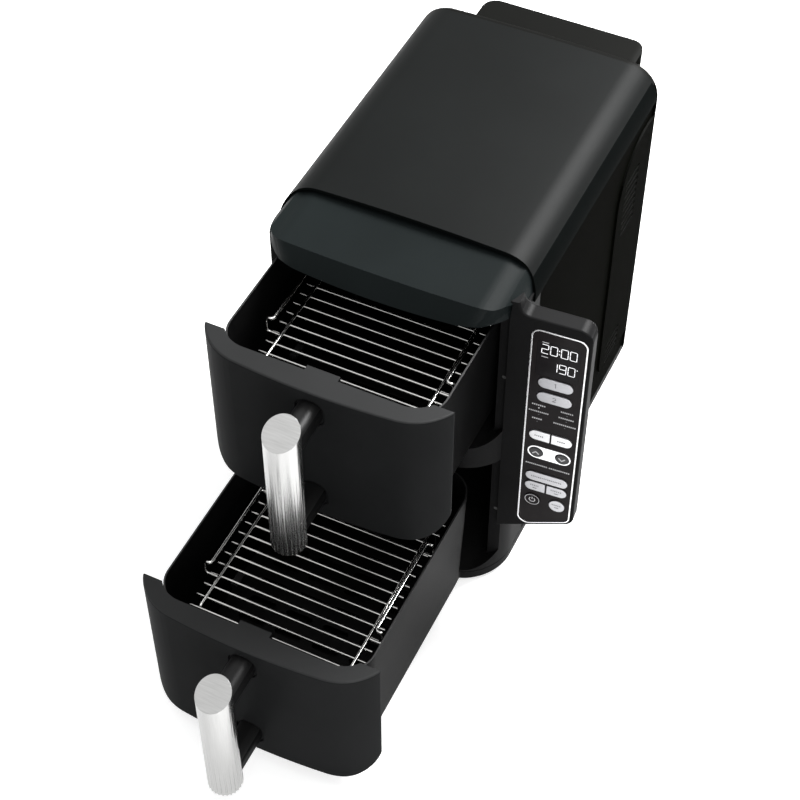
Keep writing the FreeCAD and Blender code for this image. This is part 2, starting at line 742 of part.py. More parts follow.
def front_frame():
    """Bezel with two pockets for the bowed fronts and a window behind each for the basket."""
    body = bow_prism(-BOW_REACH, FRAME_HALF, 0, 0.0, BASE_TOP, VISOR_Z)
    cuts = []
    for floor, out in DRAWERS.values():
        pocket = bay_outline(floor, FRONT_HALF + POCKET_CLEARANCE,
                             FRONT_CORNER_RADIUS + POCKET_CORNER_CLEARANCE)
        cuts.append(front_prism(pocket, -BOW_REACH - OVERLAP, POCKET_BACK))
        cuts.append(front_prism(bay_outline(floor, BAY_HALF, BAY_CORNER_RADIUS),
                                POCKET_BACK - OVERLAP, OVERLAP))
    crossbar_z = LOWER_FLOOR + BAY_HEIGHT
    cuts.append(bow_prism(-BOW_REACH, BAY_HALF, OVERLAP, FRAME_WALL,
                          crossbar_z + FRAME_WALL, UPPER_FLOOR - FRAME_WALL))
    for side in (-1, 1):
        x0 = side * (BAY_HALF + FRAME_WALL)
        x1 = side * (FRAME_HALF - POST_VOID_SETBACK)
        cuts.append(block(min(x0, x1), max(x0, x1), POCKET_BACK + FRAME_WALL, OVERLAP,
                          LOWER_FLOOR, VISOR_Z - FRAME_WALL))
    groove = bow_prism(-BOW_REACH - OVERLAP, FRAME_HALF + OVERLAP, 0, 0.0, BASE_TOP - OVERLAP,
                       BASE_TOP + GROOVE_HEIGHT)
    kept = bow_prism(-BOW_REACH, FRAME_HALF - GROOVE_DEPTH, COVER_DEPTH, GROOVE_DEPTH,
                     BASE_TOP - 2 * OVERLAP, BASE_TOP + 2 * OVERLAP)
    cuts.append(groove.cut(kept))
    for spot in drawer_switch_places():
        cuts.append(rod(PLUNGER_RADIUS + PLUNGER_FIT, spot - Vector(0, OVERLAP, 0), Vector(0, 1, 0),
                        FRAME_WALL + 2 * OVERLAP))
    body = body.cut(cuts)
    half = FRAME_HALF - TOP_BEAM_SIDE_GAP
    beam = block(-half, half, -TOP_BEAM_DEPTH, 0, VISOR_Z, VISOR_Z + TOP_BEAM_HEIGHT)
    return body.fuse(beam).removeSplitter()


def drawer_switches():
    """Interlock switches behind the right post, each with a plunger just short of the pocket."""
    switches = []
    for spot in drawer_switch_places():
        face = POCKET_BACK + FRAME_WALL
        body = block(spot.x - DRAWER_SWITCH_WIDTH / 2.0, spot.x + DRAWER_SWITCH_WIDTH / 2.0,
                     face, face + DRAWER_SWITCH_DEPTH,
                     spot.z - DRAWER_SWITCH_HEIGHT / 2.0, spot.z + DRAWER_SWITCH_HEIGHT / 2.0)
        plunger = rod(PLUNGER_RADIUS, spot + Vector(0, PLUNGER_SETBACK, 0), Vector(0, 1, 0),
                      FRAME_WALL - PLUNGER_SETBACK + OVERLAP)
        switches.append(body.fuse(plunger).removeSplitter())
    return Part.makeCompound(switches)


# Chambers with their heaters and fans

def fan_axis(floor):
    return Vector(0, CHAMBER_DEPTH, floor + BAY_HEIGHT / 2.0)


def liner(floor):
    """Sheet-metal chamber, open at the front, with a round opening to the fan at the back."""
    top = floor + BAY_HEIGHT
    wall = LINER_WALL
    outer = front_prism([
        (-BAY_HALF - wall, floor - wall, BAY_CORNER_RADIUS + wall),
        (BAY_HALF + wall, floor - wall, BAY_CORNER_RADIUS + wall),
        (BAY_HALF + wall, top + wall, 0),
        (-BAY_HALF - wall, top + wall, 0),
    ], 0, CHAMBER_DEPTH)
    inner = front_prism(bay_outline(floor, BAY_HALF, BAY_CORNER_RADIUS), -OVERLAP, CHAMBER_DEPTH - wall)
    opening = rod(FAN_OPENING_RADIUS, fan_axis(floor) - Vector(0, wall + OVERLAP, 0), Vector(0, 1, 0),
                  wall + 2 * OVERLAP)
    return outer.cut([inner, opening])


def fan_guard(floor):
    """Slotted disc over the fan opening, on the chamber side of the back wall."""
    axis = fan_axis(floor)
    face = CHAMBER_DEPTH - LINER_WALL
    start = Vector(0, face - GUARD_THICKNESS, axis.z)
    disc = rod(GUARD_RADIUS, start, Vector(0, 1, 0), GUARD_THICKNESS)
    length = GUARD_SLOT_OUTER - GUARD_SLOT_INNER
    middle = (GUARD_SLOT_OUTER + GUARD_SLOT_INNER) / 2.0
    slots = []
    for i in range(GUARD_SLOT_COUNT):
        opening = front_prism(slot(middle, 0, length, GUARD_SLOT_WIDTH), start.y - OVERLAP, face + OVERLAP)
        opening.rotate(Vector(0, 0, 0), Vector(0, 1, 0), i * 360.0 / GUARD_SLOT_COUNT)
        opening.translate(Vector(0, 0, axis.z))
        slots.append(opening)
    return disc.cut(slots)


def heater_ends():
    """Offsets of the heater's two tails from the fan axis, either side of the lowest point."""
    angle = math.radians(HEATER_GAP_DEG / 2.0)
    x = HEATER_RING_RADIUS * math.sin(angle)
    z = -HEATER_RING_RADIUS * math.cos(angle)
    return [Vector(-x, 0, z), Vector(x, 0, z)]


def fan_drum(floor):
    """Round pressing behind the chamber that holds the heater and fan."""
    axis = fan_axis(floor)
    back = Vector(0, 1, 0)
    outer = rod(DRUM_RADIUS, axis, back, DRUM_DEPTH)
    inner = rod(DRUM_RADIUS - DRUM_WALL, axis - back * OVERLAP, back, DRUM_DEPTH - DRUM_WALL + OVERLAP)
    wall = axis + back * (DRUM_DEPTH - DRUM_WALL - OVERLAP)
    cuts = [inner, rod(MOTOR_BOSS_RADIUS + MOTOR_BOSS_FIT, wall, back, DRUM_WALL + 2 * OVERLAP)]
    cuts += [rod(HEATER_TUBE_RADIUS + HEATER_FIT, wall + end, back, DRUM_WALL + 2 * OVERLAP)
             for end in heater_ends()]
    return outer.cut(cuts)


def heater(floor):
    """Open ring of sheathed element round the fan, with two tails out through the drum."""
    axis = fan_axis(floor)
    back = Vector(0, 1, 0)
    centre = axis + back * HEATER_SETBACK
    first, last = heater_ends()
    section = []
    for i in range(WIRE_SIDES + 1):
        angle = 2.0 * math.pi * (i + 0.5) / WIRE_SIDES
        outward = Vector(first).normalize() * (HEATER_TUBE_RADIUS * math.cos(angle))
        section.append(centre + first + outward + back * (HEATER_TUBE_RADIUS * math.sin(angle)))
    ring = Part.Face(Part.makePolygon(section)).revolve(axis, back, 360.0 - HEATER_GAP_DEG)
    start = -HEATER_TUBE_RADIUS
    tail = DRUM_DEPTH - HEATER_SETBACK + HEATER_TAIL - start
    tails = [wire(HEATER_TUBE_RADIUS, centre + end + back * start, back, tail) for end in (first, last)]
    return fused([ring] + tails)


def fan(floor):
    """Radial impeller on its shaft; the shaft runs back into the motor."""
    axis = fan_axis(floor)
    back = Vector(0, 1, 0)
    front = axis + back * FAN_SETBACK
    end = DRUM_DEPTH + SHAFT_ENGAGEMENT
    parts = [
        rod(FAN_HUB_RADIUS, front, back, FAN_BLADE_DEPTH),
        rod(FAN_RADIUS, front + back * FAN_BLADE_DEPTH, back, FAN_BLADE_THICKNESS),
        rod(SHAFT_RADIUS, front, back, end - FAN_SETBACK),
    ]
    for i in range(FAN_BLADE_COUNT):
        blade = block(FAN_HUB_RADIUS - OVERLAP, FAN_RADIUS, front.y, front.y + FAN_BLADE_DEPTH,
                      -FAN_BLADE_THICKNESS / 2.0, FAN_BLADE_THICKNESS / 2.0)
        blade.rotate(Vector(0, 0, 0), back, i * 360.0 / FAN_BLADE_COUNT)
        blade.translate(Vector(0, 0, axis.z))
        parts.append(blade)
    return fused(parts)


def motor(floor):
    """Fan motor with a front boss through the drum and a bearing bore for the shaft."""
    axis = fan_axis(floor)
    back = Vector(0, 1, 0)
    seat = axis + back * DRUM_DEPTH
    boss = rod(MOTOR_BOSS_RADIUS, seat - back * MOTOR_BOSS_LENGTH, back, MOTOR_BOSS_LENGTH)
    flange = rod(MOTOR_FLANGE_RADIUS, seat, back, MOTOR_FLANGE_THICKNESS)
    body = rod(MOTOR_RADIUS, seat, back, MOTOR_LENGTH)
    bore = rod(SHAFT_RADIUS + SHAFT_RUNNING_FIT, seat - back * (MOTOR_BOSS_LENGTH + OVERLAP), back,
               MOTOR_BOSS_LENGTH + SHAFT_ENGAGEMENT + 2 * OVERLAP)
    return fused([body, flange, boss]).cut(bore)


# Drawers

def front_levels(floor, out):
    """Bottom, top, front and back of a drawer front."""
    bottom = floor + FRONT_FLOOR_GAP
    front_y = -BOW_REACH - out
    return bottom, bottom + FRONT_HEIGHT, front_y, front_y + FRONT_DEPTH


def basket_outline(out, inset):
    back_y = -BOW_REACH - out + FRONT_DEPTH
    nose = back_y - BASKET_NOSE + inset
    rear = CLOSED_BASKET_BACK - out - inset
    half = BASKET_HALF - inset
    return rectangle(-half, half, nose, rear, BASKET_CORNER_RADIUS - inset)


def arm_levels(floor):
    bottom = floor + FRONT_FLOOR_GAP
    top = bottom + FRONT_HEIGHT
    upper = top - ARM_TOP_DROP - ARM_HEIGHT
    return [bottom + ARM_BOTTOM_RISE, upper]


def arm_outline(z, margin):
    half = ARM_WIDTH / 2.0 + margin
    return rectangle(-half, half, z - margin, z + ARM_HEIGHT + margin, ARM_EDGE_RADIUS + margin)


def screw_seat(front_y):
    """Where a flat screw head first touches the front's curved inner wall."""
    sagitta = SCREW_HEAD_RADIUS ** 2 / (2.0 * (BOW_MID_RADIUS - FRONT_WALL))
    return front_y + FRONT_WALL + sagitta


def handle_screw_holes(floor, out, radius):
    bottom, top, front_y, back_y = front_levels(floor, out)
    start = screw_seat(front_y) + OVERLAP
    return [rod(radius, Vector(0, start, z + ARM_HEIGHT / 2.0), Vector(0, -1, 0), SCREW_LENGTH + OVERLAP)
            for z in arm_levels(floor)]


def drawer_front(floor, out):
    """Bowed shell, open at the back, whose top wraps round the basket's nose."""
    bottom, top, front_y, back_y = front_levels(floor, out)
    face = [(-FRONT_HALF, bottom, FRONT_CORNER_RADIUS), (FRONT_HALF, bottom, FRONT_CORNER_RADIUS),
            (FRONT_HALF, top, 0), (-FRONT_HALF, top, 0)]
    solid = bow_prism(front_y, FRONT_HALF, back_y, 0.0, bottom, top)
    solid = solid.common(front_prism(face, front_y - OVERLAP, back_y + OVERLAP))
    rim = [e for e in solid.Edges
           if e.BoundBox.ZMin > top - EDGE_TOLERANCE and e.BoundBox.YMin < back_y - FRONT_TIP]
    solid = solid.makeFillet(FRONT_EDGE_RADIUS, rim)
    wall = FRONT_WALL
    void = bow_prism(front_y, FRONT_HALF - FRONT_TIP - wall, back_y + OVERLAP, wall, bottom, top - wall)
    inside = [(-FRONT_HALF + wall, bottom + wall, FRONT_CORNER_RADIUS - wall),
              (FRONT_HALF - wall, bottom + wall, FRONT_CORNER_RADIUS - wall),
              (FRONT_HALF - wall, top - wall, 0), (-FRONT_HALF + wall, top - wall, 0)]
    void = void.common(front_prism(inside, front_y, back_y + 2 * OVERLAP))
    void = void.cut(plan_prism(basket_outline(out, -BASKET_FIT - wall), bottom - OVERLAP, top + OVERLAP))
    low, rim_z = basket_height(floor)
    nest = plan_prism(basket_outline(out, -BASKET_FIT), low - BASKET_FIT, top + OVERLAP)
    nose = back_y - BASKET_NOSE
    tab = block(-FRONT_TAB_WIDTH / 2.0, FRONT_TAB_WIDTH / 2.0, nose - BASKET_FIT - OVERLAP,
                nose + FRONT_TAB_REACH, top - RIM_DROP + BASKET_FIT, top)
    sockets = [front_prism(arm_outline(z, ARM_SOCKET_MARGIN), front_y - OVERLAP, front_y + ARM_SOCKET_DEPTH)
               for z in arm_levels(floor)]
    holes = handle_screw_holes(floor, out, SCREW_RADIUS)
    shell = solid.cut([void, nest] + sockets + holes)
    return shell.fuse(tab).removeSplitter()


def basket_height(floor):
    """Underside of the basket's floor and the height of its rim."""
    low = floor + SKID_CLEARANCE + SKID_HEIGHT
    return low, floor + FRONT_FLOOR_GAP + FRONT_HEIGHT - RIM_DROP


def tapered_tub(out, low, high, low_inset, high_inset, floor_radius):
    """Rounded tub, narrower at the floor, whose floor edge turns up in even steps."""
    wires = []
    for step in range(FLOOR_EDGE_STEPS + 1):
        angle = 0.5 * math.pi * step / FLOOR_EDGE_STEPS
        inset = low_inset + floor_radius * (1.0 - math.sin(angle))
        wires.append(plan_wire(basket_outline(out, inset), low + floor_radius * (1.0 - math.cos(angle))))
    wires.append(plan_wire(basket_outline(out, high_inset), high))
    return Part.makeLoft(wires, True, True)


def basket(floor, out):
    """Deep tapered pan with skids underneath and a plate that closes the back of the front."""
    bottom, top, front_y, back_y = front_levels(floor, out)
    low, rim = basket_height(floor)
    outer = tapered_tub(out, low, rim, BASKET_DRAFT, 0.0, BASKET_FLOOR_RADIUS)
    inner = tapered_tub(out, low + BASKET_WALL, rim + OVERLAP, BASKET_DRAFT + BASKET_WALL, BASKET_WALL,
                        BASKET_FLOOR_RADIUS - BASKET_WALL)
    half = FRONT_HALF - BASKET_PLATE_INSET
    radius = FRONT_CORNER_RADIUS - BASKET_PLATE_INSET
    plate_bottom = bottom + BASKET_PLATE_INSET
    plate = front_prism([(-half, plate_bottom, radius), (half, plate_bottom, radius),
                         (half, rim - RIM_DROP, 0), (-half, rim - RIM_DROP, 0)],
                        back_y, back_y + BASKET_PLATE_THICKNESS)
    rear = CLOSED_BASKET_BACK - out
    heel_back = rear - BASKET_DRAFT - HEEL_SETBACK
    skid_outer = BASKET_HALF - BASKET_DRAFT - SKID_INSET
    skid_z = floor + SKID_CLEARANCE
    seat = low + BASKET_WALL / 2.0
    heel = block(-skid_outer, skid_outer, heel_back - HEEL_LENGTH, heel_back, skid_z, seat)
    skid_back = heel_back - HEEL_LENGTH - SKID_NOTCH
    skids = [block(min(s * skid_outer, s * (skid_outer - SKID_WIDTH)),
                   max(s * skid_outer, s * (skid_outer - SKID_WIDTH)),
                   skid_back - SKID_LENGTH, skid_back, skid_z, seat) for s in (-1, 1)]
    return fused([outer, plate, heel] + skids).cut(inner)


def grip_rod(floor, out, radius, drop):
    """Upright rod at the handle's axis, cut off at the slant of the grip's top."""
    bottom, top, front_y, back_y = front_levels(floor, out)
    axis_y = front_y - GRIP_STANDOFF
    z0 = bottom + GRIP_BOTTOM_RISE
    body = rod(radius, Vector(0, axis_y, z0), Vector(0, 0, 1), top - z0 + 2 * GRIP_RADIUS)
    reach = 2 * GRIP_RADIUS
    level = top - drop
    keep = side_prism([
        (axis_y - reach, z0 - OVERLAP, 0),
        (axis_y + reach, z0 - OVERLAP, 0),
        (axis_y + reach, level + GRIP_SLANT * reach, 0),
        (axis_y - reach, level - GRIP_SLANT * reach, 0),
    ], -reach, reach)
    return body.common(keep)


def grip_back(floor, out, clearance):
    """Space behind the steel, below the collar, that the black spine fills."""
    bottom, top, front_y, back_y = front_levels(floor, out)
    axis_y = front_y - GRIP_STANDOFF
    reach = 2 * GRIP_RADIUS
    return block(-reach, reach, axis_y + GRIP_SPLIT + clearance, axis_y + reach, bottom,
                 top - GRIP_COLLAR - clearance)


def flutes(floor, out):
    """Shallow grooves up the grip that fade out towards the top."""
    bottom, top, front_y, back_y = front_levels(floor, out)
    z0 = bottom + GRIP_BOTTOM_RISE - OVERLAP
    near = GRIP_RADIUS + FLUTE_RADIUS - FLUTE_DEPTH
    rise = Vector(0, 0, FLUTE_RUN) + Vector(FLUTE_DEPTH, 0, 0)
    cutters = []
    for i in range(FLUTE_COUNT):
        angle = -90.0 + (i - (FLUTE_COUNT - 1) / 2.0) * FLUTE_PITCH_DEG
        cutter = rod(FLUTE_RADIUS, Vector(near, 0, z0), rise, rise.Length)
        cutter.rotate(Vector(0, 0, 0), Vector(0, 0, 1), angle)
        cutter.translate(Vector(0, front_y - GRIP_STANDOFF, 0))
        cutters.append(cutter)
    return cutters


def handle_grip(floor, out):
    """Fluted steel sleeve with a slanted closed top, open along its back."""
    sleeve = grip_rod(floor, out, GRIP_RADIUS, 0.0)
    core = grip_rod(floor, out, GRIP_RADIUS - GRIP_WALL, GRIP_WALL)
    return sleeve.cut([core, grip_back(floor, out, 0.0)] + flutes(floor, out))


def handle_bracket(floor, out):
    """Black spine inside the grip with an arm at each end that seats in the drawer front."""
    bottom, top, front_y, back_y = front_levels(floor, out)
    axis_y = front_y - GRIP_STANDOFF
    core = grip_rod(floor, out, GRIP_RADIUS - GRIP_WALL - GRIP_FIT, GRIP_WALL + GRIP_FIT)
    back = grip_rod(floor, out, GRIP_RADIUS, 0.0).common(grip_back(floor, out, GRIP_FIT))
    arms = [front_prism(arm_outline(z, 0.0), axis_y + GRIP_SPLIT + GRIP_FIT, front_y + ARM_SOCKET_DEPTH)
            for z in arm_levels(floor)]
    return fused([core, back] + arms).cut(handle_screw_holes(floor, out, SCREW_RADIUS))


def handle_screws(floor, out):
    """Two screws from inside the front into the handle's arms."""
    bottom, top, front_y, back_y = front_levels(floor, out)
    screws = []
    for z in arm_levels(floor):
        spot = Vector(0, screw_seat(front_y), z + ARM_HEIGHT / 2.0)
        shank = rod(SCREW_RADIUS, spot, Vector(0, -1, 0), SCREW_LENGTH)
        head = rod(SCREW_HEAD_RADIUS, spot, Vector(0, 1, 0), SCREW_HEAD_HEIGHT)
        screws.append(shank.fuse(head).removeSplitter())
    return Part.makeCompound(screws)


def basket_inner_inset(floor, z):
    """How far the basket's inner wall lies inside its rim outline at height z."""
    low, rim = basket_height(floor)
    return BASKET_WALL + BASKET_DRAFT * (rim - z) / (rim - low)


def crisper_levels(floor):
    low, rim = basket_height(floor)
    foot = low + BASKET_WALL
    return foot, foot + CRISPER_LEG_HEIGHT, foot + CRISPER_LEG_HEIGHT + CRISPER_THICKNESS


def crisper_middle(out):
    nose = -BOW_REACH - out + FRONT_DEPTH - BASKET_NOSE
    return (nose + CLOSED_BASKET_BACK - out) / 2.0


def crisper_half_length():
    nose = -BOW_REACH + FRONT_DEPTH - BASKET_NOSE
    return (CLOSED_BASKET_BACK - nose) / 2.0


def crisper_plate(floor, out):
    """Slotted plate on four short legs that lifts food off the basket's floor."""
    foot, under, over = crisper_levels(floor)
    inset = basket_inner_inset(floor, under) + CRISPER_EDGE_GAP
    plate = plan_prism(basket_outline(out, inset), under, over)
    middle = crisper_middle(out)
    slots = []
    for column in range(CRISPER_SLOT_COLUMNS):
        for row in range(CRISPER_SLOT_ROWS):
            x = (column - (CRISPER_SLOT_COLUMNS - 1) / 2.0) * CRISPER_SLOT_PITCH_X
            y = middle + (row - (CRISPER_SLOT_ROWS - 1) / 2.0) * CRISPER_SLOT_PITCH_Y
            slots.append(plan_prism(slot(x, y, CRISPER_SLOT_LENGTH, CRISPER_SLOT_WIDTH),
                                    under - OVERLAP, over + OVERLAP))
    leg_x = CRISPER_SLOT_PITCH_X
    leg_y = (CRISPER_SLOT_ROWS - 1) / 2.0 * CRISPER_SLOT_PITCH_Y - CRISPER_SLOT_PITCH_Y / 2.0
    legs = [rod(CRISPER_LEG_RADIUS, Vector(sx * leg_x, middle + sy * leg_y, foot), Vector(0, 0, 1),
                CRISPER_LEG_HEIGHT + CRISPER_THICKNESS / 2.0) for sx in (-1, 1) for sy in (-1, 1)]
    return fused([plate.cut(slots)] + legs)


def crisper_bumpers(floor, out):
    """Soft clips on the plate's four edges that centre it in the basket."""
    foot, under, over = crisper_levels(floor)
    middle_z = (under + over) / 2.0
    z0 = middle_z - BUMPER_HEIGHT / 2.0
    z1 = middle_z + BUMPER_HEIGHT / 2.0
    wall = basket_inner_inset(floor, z0)
    edge = CRISPER_EDGE_GAP - BUMPER_FIT
    plate_inset = basket_inner_inset(floor, under) + CRISPER_EDGE_GAP
    half_x = BASKET_HALF - plate_inset
    half_y = crisper_half_length() - plate_inset
    reach_x = BASKET_HALF - wall - BUMPER_FIT
    reach_y = half_y + edge - (wall - basket_inner_inset(floor, under))
    middle = crisper_middle(out)
    half = BUMPER_LENGTH / 2.0
    plate = plan_prism(basket_outline(out, plate_inset), under, over)
    clips = []
    for side in (-1, 1):
        x0 = side * (half_x - BUMPER_BITE)
        x1 = side * reach_x
        y0 = middle + side * (half_y - BUMPER_BITE)
        y1 = middle + side * reach_y
        clips.append(block(min(x0, x1), max(x0, x1), middle - half, middle + half, z0, z1).cut(plate))
        clips.append(block(-half, half, min(y0, y1), max(y0, y1), z0, z1).cut(plate))
    return Part.makeCompound(clips)


def wire_rack(floor, out):
    """Welded wire rack: two rails on legs, cross wires, and a raised lifting wire each side."""
    foot, under, over = crisper_levels(floor)
    top = floor + FRONT_FLOOR_GAP + FRONT_HEIGHT
    grid = top - RACK_DROP
    middle = crisper_middle(out)
    half_y = (RACK_WIRE_COUNT - 1) / 2.0 * RACK_WIRE_PITCH
    stand = over + RACK_FIT
    along = Vector(0, 1, 0)
    up = Vector(0, 0, 1)
    lift_half = (RACK_HANDLE_WIRES - 1) / 2.0 * RACK_WIRE_PITCH
    lift = grid + RACK_HANDLE_RISE
    parts = []
    for i in range(RACK_WIRE_COUNT):
        y = middle - half_y + i * RACK_WIRE_PITCH
        parts.append(wire(RACK_WIRE_RADIUS, Vector(-RACK_WIRE_HALF, y, grid), Vector(1, 0, 0),
                          2 * RACK_WIRE_HALF))
    lift_x = RACK_WIRE_HALF - 2 * RACK_WIRE_RADIUS
    for side in (-1, 1):
        rail_x = side * RACK_RAIL_X
        rail_start = Vector(rail_x, middle - half_y - 2 * RACK_RAIL_RADIUS, grid)
        parts.append(wire(RACK_RAIL_RADIUS, rail_start, along, 2 * half_y + 4 * RACK_RAIL_RADIUS))
        lift_start = Vector(side * lift_x, middle - lift_half - RACK_WIRE_RADIUS, lift)
        parts.append(wire(RACK_WIRE_RADIUS, lift_start, along, 2 * lift_half + 2 * RACK_WIRE_RADIUS))
        for end in (-1, 1):
            parts.append(wire(RACK_RAIL_RADIUS, Vector(rail_x, middle + end * half_y, stand), up,
                              grid - stand))
            parts.append(wire(RACK_WIRE_RADIUS, Vector(side * lift_x, middle + end * lift_half, grid), up,
                              RACK_HANDLE_RISE))
    return fused(parts)


# Control wing

WING_X = FRAME_HALF + WING_X_GAP
WING_Y = -BOW_REACH + WING_SETBACK
FASCIA_TOP = VISOR_Z - FASCIA_TOP_DROP


def on_wing(shape):
    """Carries a shape from the wing's own plane to the cabinet."""
    shape.rotate(Vector(0, 0, 0), Vector(0, 0, 1), WING_YAW_DEG)
    shape.translate(Vector(WING_X, WING_Y, 0))
    return shape


def fascia_outline(inset):
    """Tall panel with a slanted bottom edge; inset moves every edge inward alike."""
    slope = (FASCIA_LEFT_HEIGHT - FASCIA_RIGHT_HEIGHT) / FASCIA_WIDTH
    rise = inset * math.sqrt(1.0 + slope * slope)
    left = inset
    right = FASCIA_WIDTH - inset
    low = FASCIA_TOP - FASCIA_LEFT_HEIGHT + rise
    radius = FASCIA_RADIUS - inset
    return [
        (left, low + slope * left, radius),
        (right, low + slope * right, radius),
        (right, FASCIA_TOP - inset, radius),
        (left, FASCIA_TOP - inset, radius),
    ]


def wing_outline(inset):
    """Housing outline: the fascia with a border, and a fin that sweeps up into the cabinet side."""
    low_left, low_right, top_right = fascia_outline(inset - WING_BORDER)[:3]
    top = FASCIA_TOP + WING_TOP_BORDER - inset
    fin_top = top + WING_FIN_HEIGHT
    fin_right = -WING_X_GAP + WING_FIN_WIDTH - inset
    fin_tip = -WING_X_GAP + WING_FIN_TIP - inset
    root = -WING_X_GAP - POST_WIDTH + inset
    slope = (FASCIA_LEFT_HEIGHT - FASCIA_RIGHT_HEIGHT) / FASCIA_WIDTH
    root_low = low_left[1] + slope * (root - low_left[0])
    return [
        (root, root_low, 0),
        low_right,
        (top_right[0], top, top_right[2]),
        (fin_right, top, WING_FIN_RADIUS + inset),
        (fin_tip, fin_top, 0),
        (root, fin_top, 0),
    ]


def cabinet_side():
    """Outer forms of the cabinet and its visor beside the wing, drawn in the cabinet's datum."""
    body = bow_prism(-BOW_REACH - WING_FIT, FRAME_HALF + WING_FIT, COVER_DEPTH, 0.0, 0, CABINET_TOP + OVERLAP)
    return [body, visor_solid(-WING_FIT, VISOR_Z, VISOR_TUCK)]


def board_posts():
    """Post centres on the ledge, two down each side of the fascia."""
    rows = (FASCIA_TOP - DISPLAY_HEIGHT, FASCIA_TOP - SYNC_MATCH_DROP)
    columns = (BOARD_POST_INSET, FASCIA_WIDTH - BOARD_POST_INSET)
    return [(u, z) for u in columns for z in rows]


def wing_shell():
    """Front half of the wing: a rounded border, a ledge for the fascia and posts for the board."""
    body = front_prism(wing_outline(0.0), 0, WING_SHELL_DEPTH)
    rim = [e for e in body.Edges if e.BoundBox.YMax < EDGE_TOLERANCE and e.BoundBox.XMin > -WING_X_GAP]
    body = body.makeFillet(WING_EDGE_RADIUS, rim)
    seat = LEDGE_DEPTH + LEDGE_THICKNESS
    void = front_prism(fascia_outline(WING_WALL - WING_BORDER), seat, WING_SHELL_DEPTH + OVERLAP)
    recess = front_prism(fascia_outline(0.0), -OVERLAP, LEDGE_DEPTH)
    window = front_prism(fascia_outline(LEDGE_WIDTH), -OVERLAP, seat + OVERLAP)
    posts = [rod(BOARD_POST_RADIUS, Vector(u, seat - OVERLAP, z), Vector(0, 1, 0),
                 BOARD_DEPTH - seat + OVERLAP) for u, z in board_posts()]
    shell = fused([body.cut([void, recess, window])] + posts)
    return on_wing(shell).cut(cabinet_side())


def wing_back():
    """Rear half of the wing: a shallow tray that closes it."""
    end = WING_SHELL_DEPTH + WING_BACK_DEPTH
    body = front_prism(wing_outline(WING_BACK_INSET), WING_SHELL_DEPTH, end)
    rim = [e for e in body.Edges if e.BoundBox.YMin > end - EDGE_TOLERANCE and e.BoundBox.XMin > -WING_X_GAP]
    body = body.makeFillet(WING_BACK_RADIUS, rim)
    inner = fascia_outline(WING_BACK_INSET + WING_WALL - WING_BORDER)
    void = front_prism(inner, WING_SHELL_DEPTH - OVERLAP, end - WING_WALL)
    return on_wing(body.cut(void)).cut(cabinet_side())


def fascia_trim():
    """Thin bright frame between the housing and the gloss fascia."""
    outer = front_prism(fascia_outline(FASCIA_FIT), -TRIM_PROUD, LEDGE_DEPTH)
    inner = front_prism(fascia_outline(TRIM_WIDTH), -TRIM_PROUD - OVERLAP, LEDGE_DEPTH + OVERLAP)
    return on_wing(outer.cut(inner))


def display_outline(inset):
    middle = FASCIA_WIDTH / 2.0
    half = DISPLAY_WIDTH / 2.0 - inset
    top = FASCIA_TOP - DISPLAY_TOP_DROP
    return rectangle(middle - half, middle + half, top - DISPLAY_HEIGHT + inset, top - inset,
                     DISPLAY_RADIUS - inset)


def half_pill(u, z, length, height, side, inset):
    """One end of a split pill: round on the outer side, square at the split."""
    outer = u + side * (length / 2.0 - inset)
    inner = u + side * (SPLIT_GAP / 2.0 + inset)
    low = z - height / 2.0 + inset
    high = z + height / 2.0 - inset
    radius = height / 2.0 - inset - ROUND_END_SHORTFALL
    corners = [(inner, low, 0), (outer, low, radius), (outer, high, radius), (inner, high, 0)]
    return corners if side > 0 else corners[::-1]


def key_table():
    """Each key's name with a function that gives its outline for an inset, and its centre."""
    middle = FASCIA_WIDTH / 2.0

    def bar(drop, length, height):
        z = FASCIA_TOP - drop
        return lambda inset: pill(middle, z, length - 2 * inset, height - 2 * inset), (middle, z)

    def split(drop, side):
        z = FASCIA_TOP - drop
        spot = (middle + side * WIDE_KEY_LENGTH / 4.0, z)
        return lambda inset: half_pill(middle, z, WIDE_KEY_LENGTH, WIDE_KEY_HEIGHT, side, inset), spot

    def disc(drop, side, spacing, radius):
        u = middle + side * spacing / 2.0
        z = FASCIA_TOP - drop
        return lambda inset: pill(u, z, 2 * (radius - inset), 2 * (radius - inset)), (u, z)

    return {
        "zone_1_key": bar(ZONE_1_DROP, ZONE_KEY_LENGTH, ZONE_KEY_HEIGHT),
        "zone_2_key": bar(ZONE_2_DROP, ZONE_KEY_LENGTH, ZONE_KEY_HEIGHT),
        "temp_key": split(TEMP_TIME_DROP, -1),
        "time_key": split(TEMP_TIME_DROP, 1),
        "up_key": disc(ARROW_DROP, -1, ARROW_KEY_SPACING, ARROW_KEY_RADIUS),
        "down_key": disc(ARROW_DROP, 1, ARROW_KEY_SPACING, ARROW_KEY_RADIUS),
        "both_zones_key": bar(BOTH_ZONES_DROP, WIDE_KEY_LENGTH, WIDE_KEY_HEIGHT),
        "sync_key": split(SYNC_MATCH_DROP, -1),
        "match_key": split(SYNC_MATCH_DROP, 1),
        "power_key": disc(POWER_START_DROP, -1, ROUND_KEY_SPACING, ROUND_KEY_RADIUS),
        "start_key": disc(POWER_START_DROP, 1, ROUND_KEY_SPACING, ROUND_KEY_RADIUS),
    }


def key_stem_end():
    return BOARD_DEPTH - SWITCH_SIZE / 2.0 - KEY_TRAVEL - KEY_SWITCH_GAP


